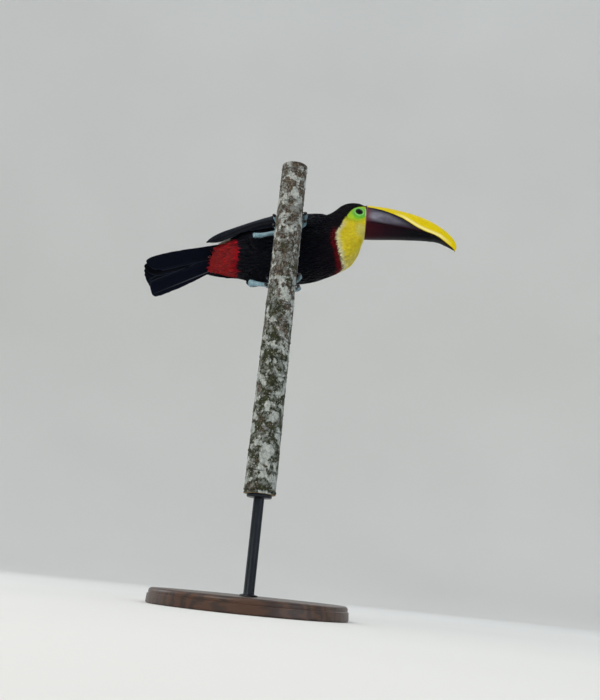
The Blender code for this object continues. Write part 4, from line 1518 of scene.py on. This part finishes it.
class TOUCAN_OT_stem(PieceOperator):
    """Adds the palm stem with its leaf scars, fissures and sawn ends"""
    bl_idname = "toucan.stem"
    bl_label = "Palm stem"

    def execute(self, context):
        low, high, middle = box_of("stem")
        solid = cad_copy("stem")
        points = places(solid)
        solid.free()
        out = np.hypot(points[:, 0] - middle.x, points[:, 1] - middle.y)
        foot_radius = out[points[:, 2] < low.z + 1.5].max()
        top_radius = out[points[:, 2] > high.z - 1.5].max()
        rows, around = 520, 132
        outline = [(foot_radius + (top_radius - foot_radius) * i / rows,
                    low.z + (high.z - low.z) * i / rows) for i in range(rows + 1)]
        bm = spun(outline, middle, around)
        rims = [[edge for edge in bm.edges if edge.is_boundary and abs(edge.verts[0].co.z - height) < 0.1]
                for height in (low.z, high.z)]
        scar = bm.verts.layers.float.new("Scar")
        at = Vector((middle.x, middle.y, 0))
        for vert in bm.verts:
            self.carve(vert, scar, at, low.z, high.z)
        for rim in rims:
            face = bmesh.ops.contextual_create(bm, geom=rim)["faces"][0]
            inset = bmesh.ops.inset_individual(bm, faces=[face], thickness=1.2, depth=0.0)
            for end_face in [face, *inset["faces"]]:
                end_face.material_index = 1
        bmesh.ops.recalc_face_normals(bm, faces=bm.faces)
        piece = add_piece("palm_stem", bm, [bark_surface(), sawn_palm_surface()], ("stem",))
        piece.data.set_sharp_from_angle(angle=radians(60))
        return {"FINISHED"}

    def carve(self, vert, scar, at, foot, top):
        """Moves one point of the bark in or out for scars, fissures, lumps and lichen crust."""
        spacing = sizes().ring_spacing
        flat = vert.co - at
        height = flat.z
        way = Vector((flat.x, flat.y, 0)).normalized()
        turn = Vector((way.x * 1.6, way.y * 1.6, height / 45))
        wave = 3.4 * noise.noise(turn) + 1.8 * noise.noise(turn * 2.7)
        number = round((height + wave) / spacing)
        offset = height + wave - number * spacing
        depth = max(0.1, 0.55 + 0.9 * noise.noise(Vector((number * 3.1, way.x, way.y))))
        ledge = depth * (bell(offset, 1.6, 1.5) - 1.15 * bell(offset, -0.9, 1.0))
        lump = 0.75 * noise.noise(Vector((flat.x / 13, flat.y / 13, height / 24)))
        cork = 0.45 * noise.noise(Vector((flat.x / 2.6, flat.y / 2.6, height / 5.5)))
        crumb = 0.28 * noise.noise(flat / 1.6)
        crust = 0.5 * max(0.0, noise.noise(flat / 8.0) - 0.12)
        # Scar is strongest in the groove under each ledge and more so in deeper grooves; the bark is darkened
        # there as painted shade.
        vert[scar] = min(1.0, depth * 1.4) * float(bell(offset, -0.9, 1.1))
        ends = min(1.0, (height - foot) / 3, (top - height) / 3)
        push = (ledge + lump + cork + crumb + crust - 0.35) * max(0.0, ends)
        vert.co += way * min(push, BARK_PROUD)


class TOUCAN_OT_skin(PieceOperator):
    """Adds the one skin under the feathers, with the lids and the ring round each eye"""
    bl_idname = "toucan.skin"
    bl_label = "Skin"

    def execute(self, context):
        skin = form()
        bm = skin.bm.copy()
        move_to(bm, skin.outer - skin.normals * skin.depth[:, None])
        open_lids(bm)
        points = places(bm)
        piece = add_piece("skin", bm, skin_surface(),
                          [*BODY, "right_thigh", "left_thigh"])
        paint = markings(points)
        face = to_face(points)
        for sign in (-1, 1):
            out = points - eye_centre(sign)
            height = out @ gaze(sign)
            ring = np.linalg.norm(out - height[:, None] * gaze(sign), axis=1)
            near = (height > 0) & (np.linalg.norm(out, axis=1) < 14)
            low_side = 0.4 + 0.4 * smoothstep(3, -4, face[:, 2])
            paint = mix(paint, colours().eye_ring, bell(ring, 7.75, 0.75) * low_side * near)
            paint = mix(paint, linear("#0F1A12"), bell(ring, 5.9, 0.35) * near)
        rim = smoothstep(BILL_BASE - 1.6, BILL_BASE - 0.4, face[:, 0])
        paint = mix(paint, linear("#D8DCC0"), rim * smoothstep(-1, 1, bare_reach(points)) * 0.8)
        store(piece.data, "Marking", "FLOAT_COLOR", np.c_[paint, np.ones(len(paint))])
        return {"FINISHED"}


class TOUCAN_OT_eyes(PieceOperator):
    """Adds both eyeballs"""
    bl_idname = "toucan.eyes"
    bl_label = "Eyes"

    def execute(self, context):
        surface = eye_surface()
        for side, sign in (("right", -1), ("left", 1)):
            bm = bmesh.new()
            bmesh.ops.create_uvsphere(bm, u_segments=72, v_segments=48, radius=EYE_RADIUS)
            ring = bm.verts.layers.float.new("Ring")
            iris = bm.loops.layers.uv.new("Iris")
            for face in bm.faces:
                for loop in face.loops:
                    turn = np.arctan2(loop.vert.co.y, loop.vert.co.x) / tau
                    loop[iris].uv = (turn * 3, 0.1 * loop.vert.co.z)
            for vert in bm.verts:
                vert[ring] = Vector((vert.co.x, vert.co.y)).length / EYE_RADIUS if vert.co.z > 0 else 1.0
            turn = Vector(gaze(sign)).to_track_quat("Z", "Y").to_matrix().to_4x4()
            bmesh.ops.transform(bm, matrix=Matrix.Translation(Vector(eye_centre(sign))) @ turn,
                                verts=bm.verts)
            add_piece(side + "_eyeball", bm, surface, (side + "_eye",))
        return {"FINISHED"}


class TOUCAN_OT_bill(PieceOperator):
    """Adds both mandibles, with their stripe, cutting edges and root"""
    bl_idname = "toucan.bill"
    bl_label = "Bill"

    def execute(self, context):
        surface = bill_surface()
        for name, lower in (("upper", 0.0), ("lower", 1.0)):
            bm = rounded_copy("bill_" + name, 3)
            self.root_under_skin(bm)
            face = to_face(places(bm))
            edge = np.abs(face[:, 2] - read(TOMIUM_Z, face[:, 0]))
            teeth = 0.22 * np.sin(face[:, 0] * tau / 2.6) * bell(edge, 0, 0.9)
            face[:, 2] += teeth * smoothstep(30, 50, face[:, 0]) * smoothstep(140, 120, face[:, 0])
            if lower:
                before = face[:, 0].copy()
                face[:, 0] += np.maximum(before - 112, 0) * (LOWER_TIP - before.max()) / (before.max() - 112)
                below = (face[:, 2] - read(TOMIUM_Z, before)) * read(LOWER_DEPTH, face[:, 0])
                face[:, 2] = read(TOMIUM_Z, face[:, 0]) + below + self.raised(face)
                edge = np.abs(below)
            else:
                lifted = self.raised(face) * bell(edge, 0, 5)
                hook = smoothstep(-40, -46, face[:, 2]) * (face[:, 0] > 150)
                face[:, 0] += (167.6 - face[:, 0]) * 0.75 * hook
                face[:, 1] *= 1 - 0.5 * hook
                face[:, 2] += lifted - 1.6 * hook
            move_to(bm, from_face(face))
            piece = add_piece(name + "_mandible", bm, surface, ("bill_" + name,))
            stations = np.arange(0, 170)
            slope = np.interp(face[:, 0], stations, np.gradient(read(STRIPE_EDGE, stations)))
            stripe = (face[:, 2] - read(STRIPE_EDGE, face[:, 0])) / np.hypot(1, slope)
            # Under marks the downward faces of the hook beyond about 100 mm; the bill's paint turns them near
            # black, painted shade over the hook's own dark underside.
            under = smoothstep(0.3, 0.6, -normals_of(piece.data.vertices) @ FACE_AXES[2])
            under *= smoothstep(95, 105, face[:, 0]) * (1 - lower)
            for label, values in (("Stripe", stripe), ("Root", face[:, 0] - BILL_BASE), ("Edge", edge),
                                  ("Lower", np.full(len(face), lower)), ("Under", under)):
                store(piece.data, label, "FLOAT", values)
            piece.data.set_sharp_from_angle(angle=radians(50))
        return {"FINISHED"}

    @staticmethod
    def raised(face):
        """How far both cutting edges rise where the bill bends down."""
        return 1.7 * bell(face[:, 0], 147, 12)

    @staticmethod
    def root_under_skin(bm):
        """Runs the bill's back cap a little way into the head, so that the skin meets its side."""
        face = to_face(places(bm))
        back = face[:, 0] < face[:, 0].min() + 0.6
        cap = [item for item in bm.faces if all(back[vert.index] for vert in item.verts)]
        made = bmesh.ops.extrude_face_region(bm, geom=cap)["geom"]
        bmesh.ops.delete(bm, geom=cap, context="FACES_ONLY")
        moved = [item for item in made if isinstance(item, bmesh.types.BMVert)]
        middle = sum((vert.co for vert in moved), Vector()) / len(moved)
        for vert in moved:
            vert.co = vert.co.lerp(middle, 0.16)
        bmesh.ops.translate(bm, vec=-Vector(FACE_AXES[0]) * 4.0, verts=moved)
        bm.verts.ensure_lookup_table()
        bm.verts.index_update()
        bmesh.ops.recalc_face_normals(bm, faces=bm.faces)


class TOUCAN_OT_plumage(PieceOperator):
    """Adds the feathers of the head, bib, body, rump and thighs"""
    bl_idname = "toucan.plumage"
    bl_label = "Plumage"

    def execute(self, context):
        skin = form()
        long = sizes().feather_length
        black = plumage("glossy_black_plumage", 0.48, 0.04, "#5F78C8", 0.08, 0.35), "black_plumage"
        bib = plumage("silky_bib_plumage", 0.75, 0.3, "#FFF6C0", 0.12, 0.16), "bib_plumage"
        red = plumage("loose_red_plumage", 0.7, 0.2, "#FF9A90", 0.15, 0.4), "red_plumage"
        white = plumage("white_rump_plumage", 0.8, 0.1, "#FFFFFF", 0.1, 0.28), "white_plumage"
        x = skin.outer[:, 0]
        rear = ~skin.wing & (x > COAT_END)
        reds, whites = skin.red > -2, skin.white > -2
        own = (skin.bare <= 0.4) & ~skin.wing & ~skin.thigh & ~reds & ~whites
        inside = own & (skin.bib > 5.5 * skin.size)
        crown = own & ~inside & (x > 62) & (skin.reach < 70)
        dark = own & ~inside & ~crown
        face, throat, back, front = skin.reach < 32, skin.reach < 54, np.abs(skin.angle) < 75, x > -20
        fine = (long, long * 0.26, long * 0.2, 0.5, 6), (long, 1.0, 1.75, 0.8, 8)
        silky = (long, long * 0.24, long * 0.19, 0.6, 7), (long, 0.9, 1.4, 0.9, 9)
        sleek = (long, long * 0.34, long * 0.25, 0.4, 5), (long * 0.9, 1.0, 1.9, 0.7, 7)
        loose = (long * 1.05, long * 0.24, long * 0.2, 1.2, 9), (long * 1.15, 1.1, 1.5, 1.8, 14)
        downy = (long * 0.62, long * 0.2, long * 0.13, 0.2, 5), (long * 0.62, 0.8, 1.3, 0.3, 6)
        scaly = (long * 0.6, long * 0.42, long * 0.22, 0.1, 4), (long * 0.5, 1.0, 2.6, 0.2, 7)
        on_tail = {"over": skin.tail_tree}
        on_leg = {"over": skin.leg_tree, "way": self.down_thigh, "steepest": 0.97}
        for name, chosen, material, blades, seed, options in (
                ("face", inside & face, bib, fine, 0, {"steepest": 0.95}),
                ("throat", inside & ~face & throat, bib, silky, 2, {}),
                ("bib", inside & ~face & ~throat, bib, silky, 20, {}),
                ("crown", crown, black, fine, 4, {}),
                ("breast", dark & ~back & front, black, sleek, 6, {}),
                ("belly", dark & ~back & ~front, black, sleek, 24, {}),
                ("back", dark & back, black, sleek, 8, {}),
                ("crissum", reds & ~skin.thigh & rear, red, loose, 10, on_tail),
                ("rump", whites & ~reds & rear, white, loose, 12, on_tail),
                ("thighs", skin.thigh, black, downy, 14, on_leg),
                ("lesser_coverts", skin.wing & (x > 8), black, scaly, 16, {})):
            grow_coat("coat_" + name, chosen, *material, *blades, SEED + seed, **options)
        return {"FINISHED"}

    @staticmethod
    def down_thigh(points, normals):
        """Feathers of the thigh lie from the hip down to the heel."""
        way, steep = lie(points, normals)
        for side in ("right", "left"):
            middle, heel = box_of(side + "_thigh")[2], box_of(side + "_tarsus")[2]
            near = np.linalg.norm(points - np.array(middle), axis=1) < 45
            down = np.tile((heel - middle).normalized(), (len(points), 1))
            flat, meets = along_surface(down, normals)
            way = np.where(near[:, None], flat, way)
            steep = np.where(near, meets, steep)
        return way, steep


class TOUCAN_OT_wings(PieceOperator):
    """Adds the flight feathers and coverts of both folded wings"""
    bl_idname = "toucan.wings"
    bl_label = "Wings"

    def execute(self, context):
        surface = quill_surface()
        for side in ("right", "left"):
            add_piece(side + "_wing_feathers", make_wing(side), surface,
                      (side + "_wing_quills", side + "_wing_coverts"))
        return {"FINISHED"}


class TOUCAN_OT_tail(PieceOperator):
    """Adds the ten tail feathers"""
    bl_idname = "toucan.tail"
    bl_label = "Tail"

    def execute(self, context):
        add_piece("tail_feathers", make_tail(), bpy.data.materials["glossy_flight_feathers"],
                  ("tail",))
        return {"FINISHED"}


class TOUCAN_OT_legs(PieceOperator):
    """Adds the scuted legs and toes and the horn claws"""
    bl_idname = "toucan.legs"
    bl_label = "Legs"

    def execute(self, context):
        scales, horn = leg_surface(), claw_surface()
        stem = box_of("stem")[2]
        for side in ("right", "left"):
            for node in (side + "_tarsus", side + "_foot"):
                bm = evaluated(cad_copy(node), "REMESH", mode="VOXEL", voxel_size=LEG_GRAIN)
                if node.endswith("tarsus"):
                    self.waist(bm)
                soften(bm, bm.verts, 8)
                bm.normal_update()
                points, normals = places(bm), normals_of(bm.verts)
                phase, outside = self.scutes(node, points, normals, stem)
                saw = phase - np.floor(phase)
                rise = 0.5 * (saw ** 0.6 - 0.5) * outside
                scute = 1 - bell(np.minimum(saw, 1 - saw), 0, 0.13) * outside
                move_to(bm, points + normals * (rise + 0.1)[:, None])
                piece = add_piece(node + "_scales", bm, scales, (node,))
                store(piece.data, "Scute", "FLOAT", scute)
            for node in (f"{side}_claw_{number}" for number in "1234"):
                add_piece(node + "_horn", rounded_copy(node, 2, 70), horn, (node,))
        return {"FINISHED"}

    @staticmethod
    def length_of(points):
        """A limb's middle and the direction of its length."""
        middle = points.mean(0)
        return middle, np.linalg.svd(points - middle, full_matrices=False)[2][0]

    def waist(self, bm):
        """Thins a leg between its heel and its ankle."""
        points = places(bm)
        middle, way = self.length_of(points)
        along = (points - middle) @ way
        share = 2 * (along - along.min()) / (along.max() - along.min()) - 1
        core = middle + along[:, None] * way
        move_to(bm, core + (points - core) * (0.8 + 0.32 * share ** 4)[:, None])

    def scutes(self, node, points, normals, stem):
        """Counts the plates along a limb, and says how much of the limb's outer side a point is on."""
        out = points[:, :2] - np.array(stem.xy)
        outside = smoothstep(-0.1, 0.5, (normals[:, :2] * unit(out)).sum(1))
        if node.endswith("foot"):
            return np.arctan2(out[:, 0], out[:, 1]) * 26 / 2.3 + points[:, 2] * 0.02, outside
        middle, way = self.length_of(points)
        return (points - middle) @ way / 3.1, np.clip(outside + 0.35, 0, 1)


STEPS = (TOUCAN_OT_stage, TOUCAN_OT_stand, TOUCAN_OT_stem, TOUCAN_OT_skin, TOUCAN_OT_eyes,
         TOUCAN_OT_bill, TOUCAN_OT_plumage, TOUCAN_OT_wings, TOUCAN_OT_tail, TOUCAN_OT_legs)


class TOUCAN_PT_panel(bpy.types.Panel):
    """Lists the steps, the sizes and the colours"""
    bl_idname = "TOUCAN_PT_panel"
    bl_label = "Toucan"
    bl_space_type = "VIEW_3D"
    bl_region_type = "UI"
    bl_category = "Toucan"

    def draw(self, context):
        for step in STEPS:
            self.layout.operator(step.bl_idname)
        for group in (context.scene.toucan_sizes, context.scene.toucan_colours):
            for name in group.__annotations__:
                self.layout.prop(group, name)


CLASSES = (ToucanColours, ToucanSizes, *STEPS, TOUCAN_PT_panel)


def register():
    for cls in CLASSES:
        bpy.utils.register_class(cls)
    bpy.types.Scene.toucan_colours = PointerProperty(type=ToucanColours)
    bpy.types.Scene.toucan_sizes = PointerProperty(type=ToucanSizes)


def unregister():
    del bpy.types.Scene.toucan_sizes
    del bpy.types.Scene.toucan_colours
    for cls in reversed(CLASSES):
        bpy.utils.unregister_class(cls)


def main():
    """Clears what the scene starts with and runs every step."""
    for old in list(bpy.data.objects):
        if old.name in ("Cube", "Light", "Camera"):
            bpy.data.objects.remove(old)
    register()
    for step in STEPS:
        group, name = step.bl_idname.split(".")
        getattr(getattr(bpy.ops, group), name)()


if __name__ == "__main__":
    main()
